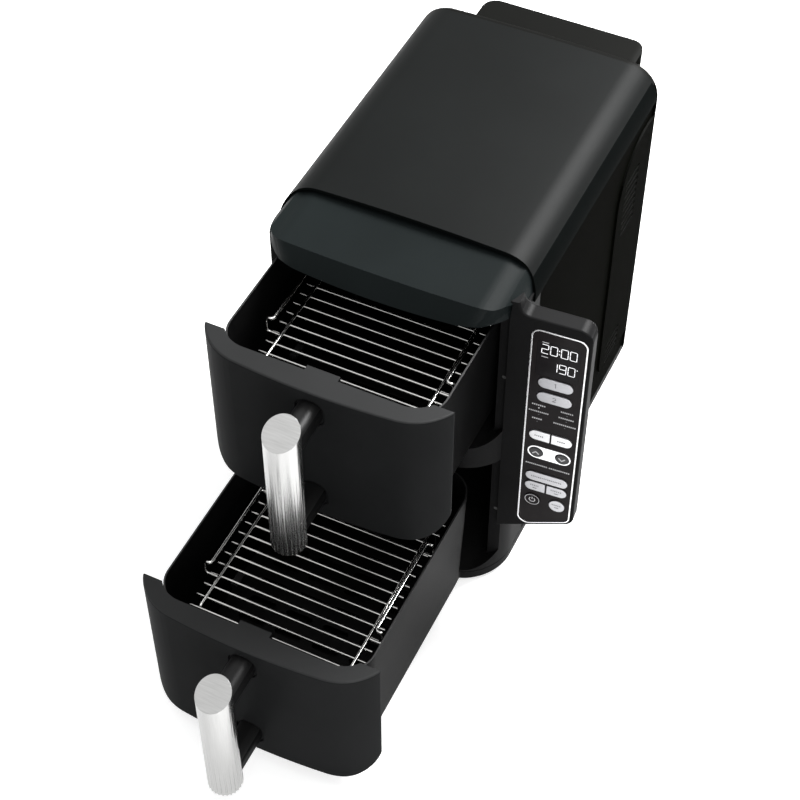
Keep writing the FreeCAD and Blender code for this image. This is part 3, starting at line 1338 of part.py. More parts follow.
def key_cap(shape, spot):
    """Key with a face that stands proud, a flange behind the fascia and a stem to its switch."""
    seat = LEDGE_DEPTH + KEY_FLANGE_GAP
    flange_back = seat + KEY_FLANGE_THICKNESS
    cap = front_prism(shape(0.0), -KEY_PROUD, flange_back)
    flange = front_prism(shape(-KEY_FLANGE_MARGIN), seat, flange_back)
    stem = rod(KEY_STEM_RADIUS, Vector(spot[0], flange_back - OVERLAP, spot[1]), Vector(0, 1, 0),
               key_stem_end() - flange_back + OVERLAP)
    return on_wing(fused([cap, flange, stem]))


def fascia():
    """Gloss panel with a display window and a hole for every key."""
    plate = front_prism(fascia_outline(TRIM_WIDTH + FASCIA_FIT), FASCIA_RECESS, LEDGE_DEPTH)
    holes = [front_prism(shape(-KEY_FIT), -OVERLAP, LEDGE_DEPTH + OVERLAP)
             for shape, spot in key_table().values()]
    holes.append(front_prism(display_outline(0.0), -OVERLAP, LEDGE_DEPTH + OVERLAP))
    return on_wing(plate.cut(holes))


def display_window():
    return on_wing(front_prism(display_outline(DISPLAY_FIT), FASCIA_RECESS, LEDGE_DEPTH))


def display_module():
    return on_wing(front_prism(display_outline(-DISPLAY_FIT), LEDGE_DEPTH + KEY_FLANGE_GAP, BOARD_DEPTH))


def control_board():
    return on_wing(front_prism(fascia_outline(-BOARD_OVERHANG), BOARD_DEPTH, BOARD_DEPTH + BOARD_THICKNESS))


def key_switches():
    """Tactile switches on the control board, one behind each key."""
    half = SWITCH_SIZE / 2.0
    face = BOARD_DEPTH - SWITCH_SIZE / 2.0
    switches = [block(u - half, u + half, face, BOARD_DEPTH, z - half, z + half)
                for shape, (u, z) in key_table().values()]
    return on_wing(Part.makeCompound(switches))


# The whole part

def build():
    """Every node's shape in the cabinet's datum."""
    nodes = {
        "top_cover": top_cover(),
        "visor": visor(),
        "left_side_panel": side_panel(-1),
        "right_side_panel": side_panel(1),
        "rear_cover": rear_cover(),
        "base_pan": base_pan(),
        "feet": feet(),
        "front_frame": front_frame(),
        "drawer_switches": drawer_switches(),
        "case_screws": case_screws(),
        "cord_gland": cord_gland(),
        "power_board": power_board(),
        "wing_shell": wing_shell(),
        "wing_back": wing_back(),
        "fascia_trim": fascia_trim(),
        "fascia": fascia(),
        "display_window": display_window(),
        "display_module": display_module(),
        "control_board": control_board(),
        "key_switches": key_switches(),
    }
    for name, (shape, spot) in key_table().items():
        nodes[name] = key_cap(shape, spot)
    for zone, (floor, out) in DRAWERS.items():
        nodes[zone + "_liner"] = liner(floor)
        nodes[zone + "_fan_guard"] = fan_guard(floor)
        nodes[zone + "_fan_drum"] = fan_drum(floor)
        nodes[zone + "_heater"] = heater(floor)
        nodes[zone + "_fan"] = fan(floor)
        nodes[zone + "_motor"] = motor(floor)
        nodes[zone + "_drawer_front"] = drawer_front(floor, out)
        nodes[zone + "_basket"] = basket(floor, out)
        nodes[zone + "_handle_bracket"] = handle_bracket(floor, out)
        nodes[zone + "_handle_grip"] = handle_grip(floor, out)
        nodes[zone + "_handle_screws"] = handle_screws(floor, out)
        nodes[zone + "_crisper_plate"] = crisper_plate(floor, out)
        nodes[zone + "_crisper_bumpers"] = crisper_bumpers(floor, out)
        nodes[zone + "_wire_rack"] = wire_rack(floor, out)
    return nodes


def footprint_middle(nodes):
    """Middle of the whole part's footprint at rest, which becomes the origin."""
    box = Part.makeCompound(list(nodes.values())).BoundBox
    return Vector(box.Center.x, box.Center.y, 0)


def main():
    os.makedirs("parts", exist_ok=True)
    nodes = build()
    middle = footprint_middle(nodes)
    for name, shape in nodes.items():
        shape.translate(-middle)
        shape.exportStep("parts/" + name + ".step")


if __name__ == "__main__":
    main()
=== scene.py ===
import json
import math

import bmesh
import bpy
from mathutils import Matrix, Vector


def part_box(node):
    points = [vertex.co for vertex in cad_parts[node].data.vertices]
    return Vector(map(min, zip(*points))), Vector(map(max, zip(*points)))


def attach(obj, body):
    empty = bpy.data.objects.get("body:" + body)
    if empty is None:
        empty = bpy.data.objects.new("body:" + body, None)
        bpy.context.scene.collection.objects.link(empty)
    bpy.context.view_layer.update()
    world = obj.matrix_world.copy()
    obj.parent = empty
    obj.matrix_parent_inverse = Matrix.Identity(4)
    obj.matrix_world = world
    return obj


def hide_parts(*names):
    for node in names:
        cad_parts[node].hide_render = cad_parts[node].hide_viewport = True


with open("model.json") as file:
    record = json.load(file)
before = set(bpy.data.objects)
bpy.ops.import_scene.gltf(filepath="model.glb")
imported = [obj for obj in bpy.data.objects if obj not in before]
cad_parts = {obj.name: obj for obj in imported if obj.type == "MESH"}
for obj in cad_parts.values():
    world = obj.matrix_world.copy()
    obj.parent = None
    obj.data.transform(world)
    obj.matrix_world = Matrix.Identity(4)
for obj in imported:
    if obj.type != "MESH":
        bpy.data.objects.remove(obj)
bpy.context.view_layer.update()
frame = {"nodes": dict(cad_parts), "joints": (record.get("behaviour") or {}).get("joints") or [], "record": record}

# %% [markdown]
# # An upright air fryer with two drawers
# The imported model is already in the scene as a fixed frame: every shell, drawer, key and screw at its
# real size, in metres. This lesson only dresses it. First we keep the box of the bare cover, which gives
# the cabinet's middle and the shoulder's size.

MM = 0.001
ZONES = ("upper", "lower")
cover_low, cover_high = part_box("top_cover")
DATUM = Vector(((cover_low.x + cover_high.x) / 2.0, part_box("left_side_panel")[0].y, 0.0))

# %% [markdown]
# ## The camera
# A product picture is taken from above with a longish lens, so that the edges stay almost parallel.
# We could aim with a constraint, but a plain place and two angles keep the view easy to repeat. The
# place is measured from the front edge of the side panels, in the middle of the cabinet.

# %% Camera
CAMERA_FROM_DATUM = Vector((482.45, -1023.83, 1457.03)) * MM
CAMERA_DOWN = math.radians(49.2)
CAMERA_TURN = math.radians(25.81)
CAMERA_LENS = 82.655
CAMERA_SENSOR = 36.0

camera_data = bpy.data.cameras.new("camera")
camera_data.lens = CAMERA_LENS
camera_data.sensor_width = CAMERA_SENSOR
camera = bpy.data.objects.new("camera", camera_data)
camera.location = DATUM + CAMERA_FROM_DATUM
camera.rotation_euler = (math.pi / 2.0 - CAMERA_DOWN, 0.0, CAMERA_TURN)
bpy.context.collection.objects.link(camera)
bpy.context.scene.camera = camera
bpy.context.scene.view_settings.view_transform = "Standard"
print("camera", tuple(round(v, 3) for v in camera.location))

# %% [markdown]
# ## Light and floor
# Black plastic shows its shape by what it mirrors, so the light comes from a few broad soft boxes and
# not from small lamps. The world is white to the eye and to mirrors but gives less light, and the floor
# glows a little for them too. That keeps the background white while the plastic stays black. The box
# behind the right shoulder draws the long highlight on the cover.

# %% Light and floor
WORLD_LIGHT = 0.5
WORLD_SEEN = 1.0
WHITE = (1.0, 1.0, 1.0, 1.0)
FLOOR_SIZE = 8.0
FLOOR_COLOUR = (0.82, 0.82, 0.82, 1.0)
FLOOR_ROUGHNESS = 0.9
FLOOR_MIRROR = 0.1
FLOOR_GLOW = 0.6


def seen_rays(tree):
    """Socket that is 1 for the eye, for mirrors and for glass, and 0 for light on surfaces."""
    path = tree.nodes.new("ShaderNodeLightPath")
    total = path.outputs["Is Camera Ray"]
    for ray in ("Is Glossy Ray", "Is Transmission Ray"):
        either = tree.nodes.new("ShaderNodeMath")
        either.operation = "MAXIMUM"
        tree.links.new(total, either.inputs[0])
        tree.links.new(path.outputs[ray], either.inputs[1])
        total = either.outputs[0]
    return total


def span(tree, fac, low, high):
    """Value that runs from low to high as fac runs from 0 to 1."""
    node = tree.nodes.new("ShaderNodeMapRange")
    node.inputs["To Min"].default_value = low
    node.inputs["To Max"].default_value = high
    tree.links.new(fac, node.inputs["Value"])
    return node.outputs["Result"]


world = bpy.data.worlds.new("studio")
bpy.context.scene.world = world
world.use_nodes = True
sky = world.node_tree.nodes["Background"]
sky.inputs["Color"].default_value = WHITE
sky_strength = span(world.node_tree, seen_rays(world.node_tree), WORLD_LIGHT, WORLD_SEEN)
world.node_tree.links.new(sky_strength, sky.inputs["Strength"])


def soft_box(name, place, target, size, power):
    """Square area light at place, turned to face target."""
    light = bpy.data.lights.new(name, "AREA")
    light.size = size
    light.energy = power
    lamp = bpy.data.objects.new(name, light)
    lamp.location = place
    lamp.rotation_euler = (Vector(target) - Vector(place)).to_track_quat("-Z", "Y").to_euler()
    bpy.context.collection.objects.link(lamp)


# Name, place, target, size and power.
soft_box("top_box", (0.3, 0.1, 2.0), (0.0, 0.0, 0.3), 1.2, 12.0)
soft_box("shoulder_box", (0.5, 1.1, 1.55), (0.05, 0.15, 0.38), 0.8, 75.0)
soft_box("left_box", (-1.6, -1.0, 1.2), (0.0, -0.2, 0.2), 0.8, 2.5)
soft_box("front_box", (1.2, -1.8, 0.7), (0.0, -0.2, 0.2), 1.0, 20.0)


def new_finish(name):
    """New material, its tree and its shader."""
    material = bpy.data.materials.new(name)
    material.use_nodes = True
    return material, material.node_tree, material.node_tree.nodes["Principled BSDF"]


def floor_finish():
    """White paper that glows a little where it is seen, and still shows a shadow."""
    material, tree, shader = new_finish("floor_paper")
    shader.inputs["Base Color"].default_value = FLOOR_COLOUR
    shader.inputs["Roughness"].default_value = FLOOR_ROUGHNESS
    shader.inputs["Specular IOR Level"].default_value = FLOOR_MIRROR
    shader.inputs["Emission Color"].default_value = WHITE
    tree.links.new(span(tree, seen_rays(tree), 0.0, FLOOR_GLOW), shader.inputs["Emission Strength"])
    return material


def make_floor():
    """Large flat sheet that the fryer stands on."""
    half = FLOOR_SIZE / 2.0
    corners = [(-half, -half, 0.0), (half, -half, 0.0), (half, half, 0.0), (-half, half, 0.0)]
    mesh = bpy.data.meshes.new("floor")
    mesh.from_pydata(corners, [], [(0, 1, 2, 3)])
    mesh.materials.append(floor_finish())
    floor = bpy.data.objects.new("floor", mesh)
    bpy.context.collection.objects.link(floor)


make_floor()

# %% [markdown]
# ## Finishes
# Nothing on a real appliance is one flat colour. Moulded plastic has a fine spark-eroded grain, coated
# pans have a pebbled skin, and brushed steel is scratched in one direction. Each finish below is noise
# at a real size, read from Object coordinates, because every mesh keeps its place and so the grain
# stays put when a drawer slides.

# %% Finish helpers
EVEN = (1.0, 1.0, 1.0)
NOISE_DETAIL = 3.0
RAMP_DARK = 0.3
RAMP_LIGHT = 0.7


def noise(tree, size, stretch=EVEN):
    """Noise whose blobs are about size across, in metres, drawn out by stretch."""
    place = tree.nodes.new("ShaderNodeTexCoord")
    mapping = tree.nodes.new("ShaderNodeMapping")
    mapping.inputs["Scale"].default_value = [1.0 / s for s in stretch]
    tree.links.new(place.outputs["Object"], mapping.inputs["Vector"])
    node = tree.nodes.new("ShaderNodeTexNoise")
    node.inputs["Scale"].default_value = 1.0 / size
    node.inputs["Detail"].default_value = NOISE_DETAIL
    tree.links.new(mapping.outputs["Vector"], node.inputs["Vector"])
    return node.outputs["Fac"]


def tint(tree, fac, dark, light):
    """Colour that wanders from dark to light with fac."""
    ramp = tree.nodes.new("ShaderNodeValToRGB")
    ramp.color_ramp.elements[0].position = RAMP_DARK
    ramp.color_ramp.elements[1].position = RAMP_LIGHT
    ramp.color_ramp.elements[0].color = (*dark, 1.0)
    ramp.color_ramp.elements[1].color = (*light, 1.0)
    tree.links.new(fac, ramp.inputs["Fac"])
    return ramp.outputs["Color"]


def bump(tree, shader, height, depth, strength):
    """Fine relief of a real depth, in metres."""
    node = tree.nodes.new("ShaderNodeBump")
    node.inputs["Distance"].default_value = depth
    node.inputs["Strength"].default_value = strength
    tree.links.new(height, node.inputs["Height"])
    tree.links.new(node.outputs["Normal"], shader.inputs["Normal"])


def shades(colour, spread):
    """Colour a share darker, and a share lighter."""
    return [c * (1.0 - spread) for c in colour], [c * (1.0 + spread) for c in colour]


# %% [markdown]
# ### Moulded plastic, coating and rubber
# These three are alike: a dark body colour that wanders a little, a roughness that wanders with it, and
# a fine bump. What tells them apart is the size of the grain and how much they mirror. A plastic is a
# pair of copies that differ only in how much they mirror. The faces that look up mirror more, a painted
# highlight, and the walls mirror less, a painted shade that keeps them dark.

# %% Grained finishes
PATCH_SIZE = 90.0 * MM
MOULD_GRAIN = 0.9 * MM
MOULD_DEPTH = 0.1 * MM
ROUGHNESS_WANDER = 0.04


def grained(name, colour, roughness, mirror, grain, depth, strength=0.35, spread=0.12):
    """Dark, slightly uneven surface with a fine grain."""
    material, tree, shader = new_finish(name)
    patches = noise(tree, PATCH_SIZE)
    tree.links.new(tint(tree, patches, *shades(colour, spread)), shader.inputs["Base Color"])
    uneven = span(tree, patches, roughness - ROUGHNESS_WANDER, roughness + ROUGHNESS_WANDER)
    tree.links.new(uneven, shader.inputs["Roughness"])
    shader.inputs["Specular IOR Level"].default_value = mirror
    bump(tree, shader, noise(tree, grain), depth, strength)
    return material


def moulded(name, colour, roughness, wall_shade_mirror, top_highlight_mirror):
    """Shaded wall copy and highlighted top copy of one plastic, told apart only by how much they mirror."""
    return [grained(name + "_wall", colour, roughness, wall_shade_mirror, MOULD_GRAIN, MOULD_DEPTH),
            grained(name + "_top", colour, roughness, top_highlight_mirror, MOULD_GRAIN, MOULD_DEPTH)]


# Name, colour, roughness, and how much the walls and the tops mirror. The walls' low mirror is painted
# shade, and the tops' higher mirror is a painted highlight.
cover_plastic = moulded("cover_plastic", (0.0028, 0.0034, 0.0033), 0.50, 0.001, 0.075)
side_plastic = moulded("side_plastic", (0.0014, 0.0015, 0.0011), 0.48, 0.0003, 0.06)
visor_plastic = moulded("visor_plastic", (0.0066, 0.0088, 0.0090), 0.50, 0.012, 0.045)
front_plastic = moulded("front_plastic", (0.0102, 0.0106, 0.0109), 0.46, 0.008, 0.20)
frame_plastic = moulded("frame_plastic", (0.0080, 0.0080, 0.0082), 0.42, 0.008, 0.06)
bracket_plastic = moulded("bracket_plastic", (0.0035, 0.0035, 0.0036), 0.45, 0.03, 0.20)
pan_coating = moulded("pan_coating", (0.0040, 0.0040, 0.0041), 0.42, 0.010, 0.14)
# The rim's top copy mirrors far more than its walls: a painted highlight along the basket's lip.
rim_coating_with_highlight = moulded("rim_coating_with_highlight", (0.0030, 0.0030, 0.0031), 0.42, 0.008, 0.50)
# Name, colour, roughness, mirror, size and depth of the grain, its strength, and the spread of colour.
foot_rubber = grained("foot_rubber", (0.014, 0.014, 0.014), 0.8, 0.2, 0.6 * MM, 0.1 * MM)
clip_silicone = grained("clip_silicone", (0.03, 0.03, 0.031), 0.62, 0.3, 1.5 * MM, 0.1 * MM)
switch_plastic = grained("switch_plastic", (0.03, 0.03, 0.03), 0.5, 0.35, 0.7 * MM, 0.1 * MM)
board_laminate = grained("board_laminate", (0.03, 0.13, 0.06), 0.4, 0.4, 3.0 * MM, 0.2 * MM, 0.5, 0.35)
motor_paint = grained("motor_paint", (0.05, 0.05, 0.055), 0.4, 0.4, 1.2 * MM, 0.1 * MM)

# %% [markdown]
# ### Metals
# Brushing leaves long scratches, so the steel's noise is drawn out up the grip. Chromed wire is plain
# but never perfectly even, and sheet steel shows how it was rolled.

# %% Metals
POLISHED_BY = 0.06
ROUGHENED_BY = 0.08
SCRATCH_STRENGTH = 0.3
BRUSHED_UP = (1.0, 1.0, 60.0)
BRUSHED_ACROSS = (50.0, 3.0, 3.0)
BRUSHED_LEVEL = (12.0, 12.0, 1.0)
ROLLED = (6.0, 1.0, 1.0)


def metal(name, colour, roughness, size, stretch, scratch, spread=0.06):
    """Bare metal whose colour, roughness and relief follow the same streaks."""
    material, tree, shader = new_finish(name)
    streaks = noise(tree, size, stretch)
    tree.links.new(tint(tree, streaks, *shades(colour, spread)), shader.inputs["Base Color"])
    uneven = span(tree, streaks, roughness - POLISHED_BY, roughness + ROUGHENED_BY)
    tree.links.new(uneven, shader.inputs["Roughness"])
    shader.inputs["Metallic"].default_value = 1.0
    bump(tree, shader, streaks, scratch, SCRATCH_STRENGTH)
    return material


# Name, colour, roughness, size and stretch of the streaks, depth of the scratches, and spread of colour.
grip_steel = metal("grip_steel", (0.45, 0.45, 0.445), 0.22, 0.4 * MM, BRUSHED_UP, 0.02 * MM)
cap_steel = metal("cap_steel", (0.50, 0.50, 0.495), 0.30, 0.4 * MM, BRUSHED_ACROSS, 0.02 * MM, 0.08)
rack_chrome = metal("rack_chrome", (0.66, 0.655, 0.64), 0.18, 4.0 * MM, EVEN, 0.01 * MM)
trim_chrome = metal("trim_chrome", (0.72, 0.72, 0.73), 0.22, 3.0 * MM, EVEN, 0.01 * MM)
sheet_steel = metal("sheet_steel", (0.30, 0.30, 0.30), 0.40, 2.0 * MM, ROLLED, 0.02 * MM)
heater_steel = metal("heater_steel", (0.22, 0.20, 0.18), 0.45, 4.0 * MM, EVEN, 0.04 * MM, 0.2)
fan_aluminium = metal("fan_aluminium", (0.62, 0.62, 0.63), 0.35, 2.0 * MM, EVEN, 0.02 * MM)
screw_steel = metal("screw_steel", (0.45, 0.45, 0.46), 0.32, 1.0 * MM, EVEN, 0.02 * MM)
screw_black = metal("screw_black", (0.030, 0.030, 0.031), 0.42, 1.0 * MM, EVEN, 0.02 * MM)
key_silver = metal("key_silver", (0.40, 0.40, 0.415), 0.34, 0.6 * MM, BRUSHED_LEVEL, 0.01 * MM)
# A lighter copy of the key silver for two keys: a painted highlight.
key_silver_painted_highlight = metal("key_silver_painted_highlight", (0.70, 0.70, 0.71), 0.38, 0.6 * MM, BRUSHED_LEVEL, 0.01 * MM)

# %% [markdown]
# ### Gloss panel and print
# The fascia is a hard gloss sheet with the faint ripple of moulded plastic. The display's digits glow,
# and the printed marks are thin paint, slightly uneven. The white print and the white plate glow a little
# too, though they are no lamps: painted light.

# %% Gloss, print and glow
RIPPLE_SIZE = 12.0 * MM
RIPPLE_DEPTH = 0.1 * MM
RIPPLE_STRENGTH = 0.1
RIPPLE_SPREAD = 0.1
PRINT_GRAIN = 2.0 * MM
PRINT_SPREAD = 0.08
PANEL_BLACK = (0.0135, 0.0118, 0.0122)


def gloss(name, colour, roughness, mirror):
    """Hard gloss plastic with a faint ripple."""
    material, tree, shader = new_finish(name)
    ripple = noise(tree, RIPPLE_SIZE)
    tree.links.new(tint(tree, ripple, *shades(colour, RIPPLE_SPREAD)), shader.inputs["Base Color"])
    tree.links.new(span(tree, ripple, roughness, roughness + ROUGHNESS_WANDER), shader.inputs["Roughness"])
    shader.inputs["Specular IOR Level"].default_value = mirror
    bump(tree, shader, ripple, RIPPLE_DEPTH, RIPPLE_STRENGTH)
    return material


def glowing(name, colour, strength):
    """Lit segment that gives off light, or pale paint given a glow of its own, which is painted light."""
    material, tree, shader = new_finish(name)
    colours = tint(tree, noise(tree, PRINT_GRAIN), *shades(colour, PRINT_SPREAD))
    tree.links.new(colours, shader.inputs["Base Color"])
    tree.links.new(colours, shader.inputs["Emission Color"])
    shader.inputs["Emission Strength"].default_value = strength
    return material


# Name, colour, roughness and mirror.
fascia_gloss = gloss("fascia_gloss", PANEL_BLACK, 0.12, 0.03)
window_gloss = gloss("window_gloss", (0.0120, 0.0110, 0.0118), 0.08, 0.03)
dark_key_gloss = gloss("dark_key_gloss", (0.055, 0.055, 0.056), 0.22, 0.10)
power_key_gloss = gloss("power_key_gloss", PANEL_BLACK, 0.14, 0.03)
# Name, colour and strength of the glow.
digit_glow = glowing("digit_glow", (0.82, 0.82, 0.84), 0.6)
# The white plate is no lamp: its glow is painted light that keeps it white in the panel's shade.
plate_white_painted_glow = glowing("plate_white_painted_glow", (0.84, 0.84, 0.85), 0.6)
# White print glows faintly though it is no lamp: a painted light.
print_white_painted_glow = glowing("print_white_painted_glow", (0.46, 0.46, 0.47), 0.08)
print_grey = grained("print_grey", (0.10, 0.10, 0.105), 0.5, 0.3, 0.4 * MM, 0.01 * MM, 0.2, 0.05)
print("finishes", len(bpy.data.materials))

# %% [markdown]
# ## Dressing the solids
# The solids come in as loose triangles, which shade as flat facets. A skin is a copy whose corners are
# joined, so that round stretches shade as round. Its sharp edges get a small bevel, because no moulded
# or drawn edge is perfectly sharp, and it is that small round that catches the light. A skin can have two
# finishes, and then the second goes on the faces that look up. The cover's long edges are drawn in to a
# rounder shoulder than the solid has, together with the visor and the rear cover that follow them.

# %% Skins over the solids
JOIN_DISTANCE = 0.004 * MM
FLAT_TURN = math.radians(0.4)
SHARP_TURN = math.radians(32.0)
EDGE_SEGMENTS = 2
TOP_FACING = 0.5
SHOULDER_NODES = ("top_cover", "rear_cover", "visor")
SHOULDER_RADIUS = 33.0 * MM
SHOULDER_CROWN = 2.0 * MM
SHOULDER_CUTS = 10
SOLID_RADIUS = 18.0 * MM
SIDEWAYS = (1.0, 0.0, 0.0)
UPWARDS = (0.0, 0.0, 1.0)
BODY_OF = {node: body for body, nodes in frame["record"]["behaviour"]["bodies"].items() for node in nodes}


def cut_across(work, place, normal):
    """Cuts every face that a plane crosses, and keeps both halves."""
    everything = work.verts[:] + work.edges[:] + work.faces[:]
    bmesh.ops.bisect_plane(work, geom=everything, plane_co=place, plane_no=normal)


def round_shoulders(work):
    """Cuts a mesh across the cover's two long edges and draws them in to a rounder shoulder."""
    half = (cover_high.x - cover_low.x) / 2.0
    side = half - SHOULDER_RADIUS
    base = cover_high.z - SHOULDER_CROWN - SHOULDER_RADIUS
    flat = SHOULDER_RADIUS - SOLID_RADIUS
    for i in range(SHOULDER_CUTS):
        step = SHOULDER_RADIUS * i / SHOULDER_CUTS
        cut_across(work, (DATUM.x - side - step, 0.0, 0.0), SIDEWAYS)
        cut_across(work, (DATUM.x + side + step, 0.0, 0.0), SIDEWAYS)
        cut_across(work, (0.0, 0.0, base + step), UPWARDS)
    for vert in work.verts:
        out = abs(vert.co.x - DATUM.x) - side
        rise = vert.co.z - base
        if out <= 0.0 or rise <= 0.0:
            continue
        # A ray from the shoulder's centre leaves the solid at edge, on a flat or on its smaller round.
        slant = min(out, rise) / max(out, rise)
        edge = SHOULDER_RADIUS * math.hypot(1.0, slant)
        if slant > flat / SHOULDER_RADIUS:
            turn = math.atan2(rise, out) - math.pi / 4.0
            offset = flat * math.sqrt(2.0)
            edge = offset * math.cos(turn) + math.sqrt(SOLID_RADIUS ** 2 - (offset * math.sin(turn)) ** 2)
        pull = SHOULDER_RADIUS / edge
        vert.co.x = DATUM.x + math.copysign(side + out * pull, vert.co.x - DATUM.x)
        vert.co.z = base + rise * pull


def joined_copy(node):
    """Copy of a solid's mesh with its corners joined and its flat stretches made whole."""
    mesh = frame["nodes"][node].data.copy()
    work = bmesh.new()
    work.from_mesh(mesh)
    bmesh.ops.remove_doubles(work, verts=work.verts, dist=JOIN_DISTANCE)
    bmesh.ops.dissolve_limit(work, angle_limit=FLAT_TURN, verts=work.verts, edges=work.edges)
    if node in SHOULDER_NODES:
        round_shoulders(work)
    for face in work.faces:
        face.smooth = True
    for edge in work.edges:
        edge.smooth = len(edge.link_faces) == 2 and edge.calc_face_angle() < SHARP_TURN
    work.to_mesh(mesh)
    work.free()
    return mesh


def baked(piece):
    """Turns a piece with modifiers into a plain mesh."""
    bpy.context.view_layer.update()
    seen = piece.evaluated_get(bpy.context.evaluated_depsgraph_get())
    mesh = bpy.data.meshes.new_from_object(seen)
    piece.modifiers.clear()
    piece.data = mesh


def skin(node, finishes, edge=0.0, facing=TOP_FACING):
    """Smooth, bevelled skin that stands for a solid. The last finish is for faces that look up."""
    mesh = joined_copy(node)
    mesh.materials.clear()
    for finish in finishes:
        mesh.materials.append(finish)
    piece = bpy.data.objects.new(node + "_skin", mesh)
    bpy.context.collection.objects.link(piece)
    if edge > 0.0:
        bevel = piece.modifiers.new("edge", "BEVEL")
        bevel.width = edge
        bevel.segments = EDGE_SEGMENTS
        bevel.limit_method = "ANGLE"
        bevel.angle_limit = SHARP_TURN
    weigh = piece.modifiers.new("weigh", "WEIGHTED_NORMAL")
    weigh.keep_sharp = True
    baked(piece)
    for face in piece.data.polygons:
        face.material_index = (len(finishes) - 1) * int(face.normal.z > facing)
    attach(piece, BODY_OF[node])
    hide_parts(node)


def paint(node, finish):
    """Gives a solid that needs no skin its finish."""
    slots = frame["nodes"][node].data.materials
    slots.clear()
    slots.append(finish)


# %% [markdown]
# ### The cabinet
# The large mouldings get skins. Small or hidden pieces keep their solids and only take a finish. The
# upper part of the cover's round shoulder takes the top copy, so that the painted highlight runs along it
# whole. The lower part takes the wall copy, a painted shade that goes dark towards the seam.

# %% Cabinet
# Where the cover's shoulder turns from painted highlight to painted shade.
SHOULDER_HIGHLIGHT_FACING = 0.62
VISOR_FACING = 0.1
skin("top_cover", cover_plastic, edge=0.5 * MM, facing=SHOULDER_HIGHLIGHT_FACING)
for node in ("left_side_panel", "right_side_panel", "rear_cover"):
    skin(node, side_plastic, edge=0.5 * MM)
skin("visor", visor_plastic, edge=0.7 * MM, facing=VISOR_FACING)
skin("front_frame", frame_plastic, edge=0.6 * MM)
skin("base_pan", frame_plastic, edge=0.5 * MM)
skin("wing_shell", frame_plastic, edge=0.4 * MM)
skin("wing_back", frame_plastic, edge=0.4 * MM)
paint("feet", foot_rubber)
paint("cord_gland", foot_rubber)
paint("case_screws", screw_black)
paint("drawer_switches", switch_plastic)
paint("power_board", board_laminate)

# %% [markdown]
# ### The two chambers
# Behind each drawer there is a coated liner with its fan, heater and motor. They show when a drawer is
# out, so they get real finishes too.

# %% Chambers
for zone in ZONES:
    skin(zone + "_liner", pan_coating)
    paint(zone + "_fan_guard", sheet_steel)
    paint(zone + "_fan_drum", sheet_steel)
    paint(zone + "_heater", heater_steel)
    paint(zone + "_fan", fan_aluminium)
    paint(zone + "_motor", motor_paint)

# %% [markdown]
# ### The drawers
# Each drawer is a bowed front, a coated basket and a fluted steel grip. The grip's fluted wall is brushed
# upwards and its flat cap sideways, so the cap takes a finish of its own.

# %% Drawers
CAP_FACING = 0.8
# The basket rim's faces that look up take the top copy, a painted highlight on the lip.
RIM_HIGHLIGHT_FACING = 0.9
for zone in ZONES:
    skin(zone + "_drawer_front", front_plastic, edge=0.6 * MM)
    skin(zone + "_basket", rim_coating_with_highlight, edge=0.4 * MM, facing=RIM_HIGHLIGHT_FACING)
    skin(zone + "_crisper_plate", pan_coating, edge=0.3 * MM)
    skin(zone + "_handle_bracket", bracket_plastic, edge=0.4 * MM)
    skin(zone + "_handle_grip", [grip_steel, cap_steel], edge=0.5 * MM, facing=CAP_FACING)
    paint(zone + "_handle_screws", screw_steel)
    paint(zone + "_crisper_bumpers", clip_silicone)

# %% [markdown]
# ### The control panel
# A gloss sheet in a thin bright trim, a darker window, and keys of silver paint. Two of them take a lighter
# copy of the silver, a painted highlight. The arrow keys and the power key are dark.

# %% Panel
skin("fascia_trim", [trim_chrome], edge=0.2 * MM)
skin("fascia", [fascia_gloss])
skin("display_window", [window_gloss])
paint("display_module", switch_plastic)
paint("control_board", board_laminate)
paint("key_switches", switch_plastic)
# The temp and time keys take the lighter silver, a painted highlight.
KEY_FINISH = {"up_key": dark_key_gloss, "down_key": dark_key_gloss, "power_key": power_key_gloss,
              "temp_key": key_silver_painted_highlight, "time_key": key_silver_painted_highlight}
for node in [name for name in frame["nodes"] if name.endswith("_key")]:
    skin(node, [KEY_FINISH.get(node, key_silver)], edge=0.25 * MM)

# %% [markdown]
# ## Wire racks
# A rack is welded from bright round wire: cross wires at an even pitch, two rails on legs, and a raised
# wire down each side to lift it by, whose ends jog outwards and drop to the grid. The wires repeat and
# follow paths, which is what Geometry Nodes are for: a row of points carries the cross wires, and the
# bent wires are sharp paths whose corners the tree rounds before it gives them thickness.

# %% Rack tree
WIRE_SIDES = 14
BEND_STEPS = 6


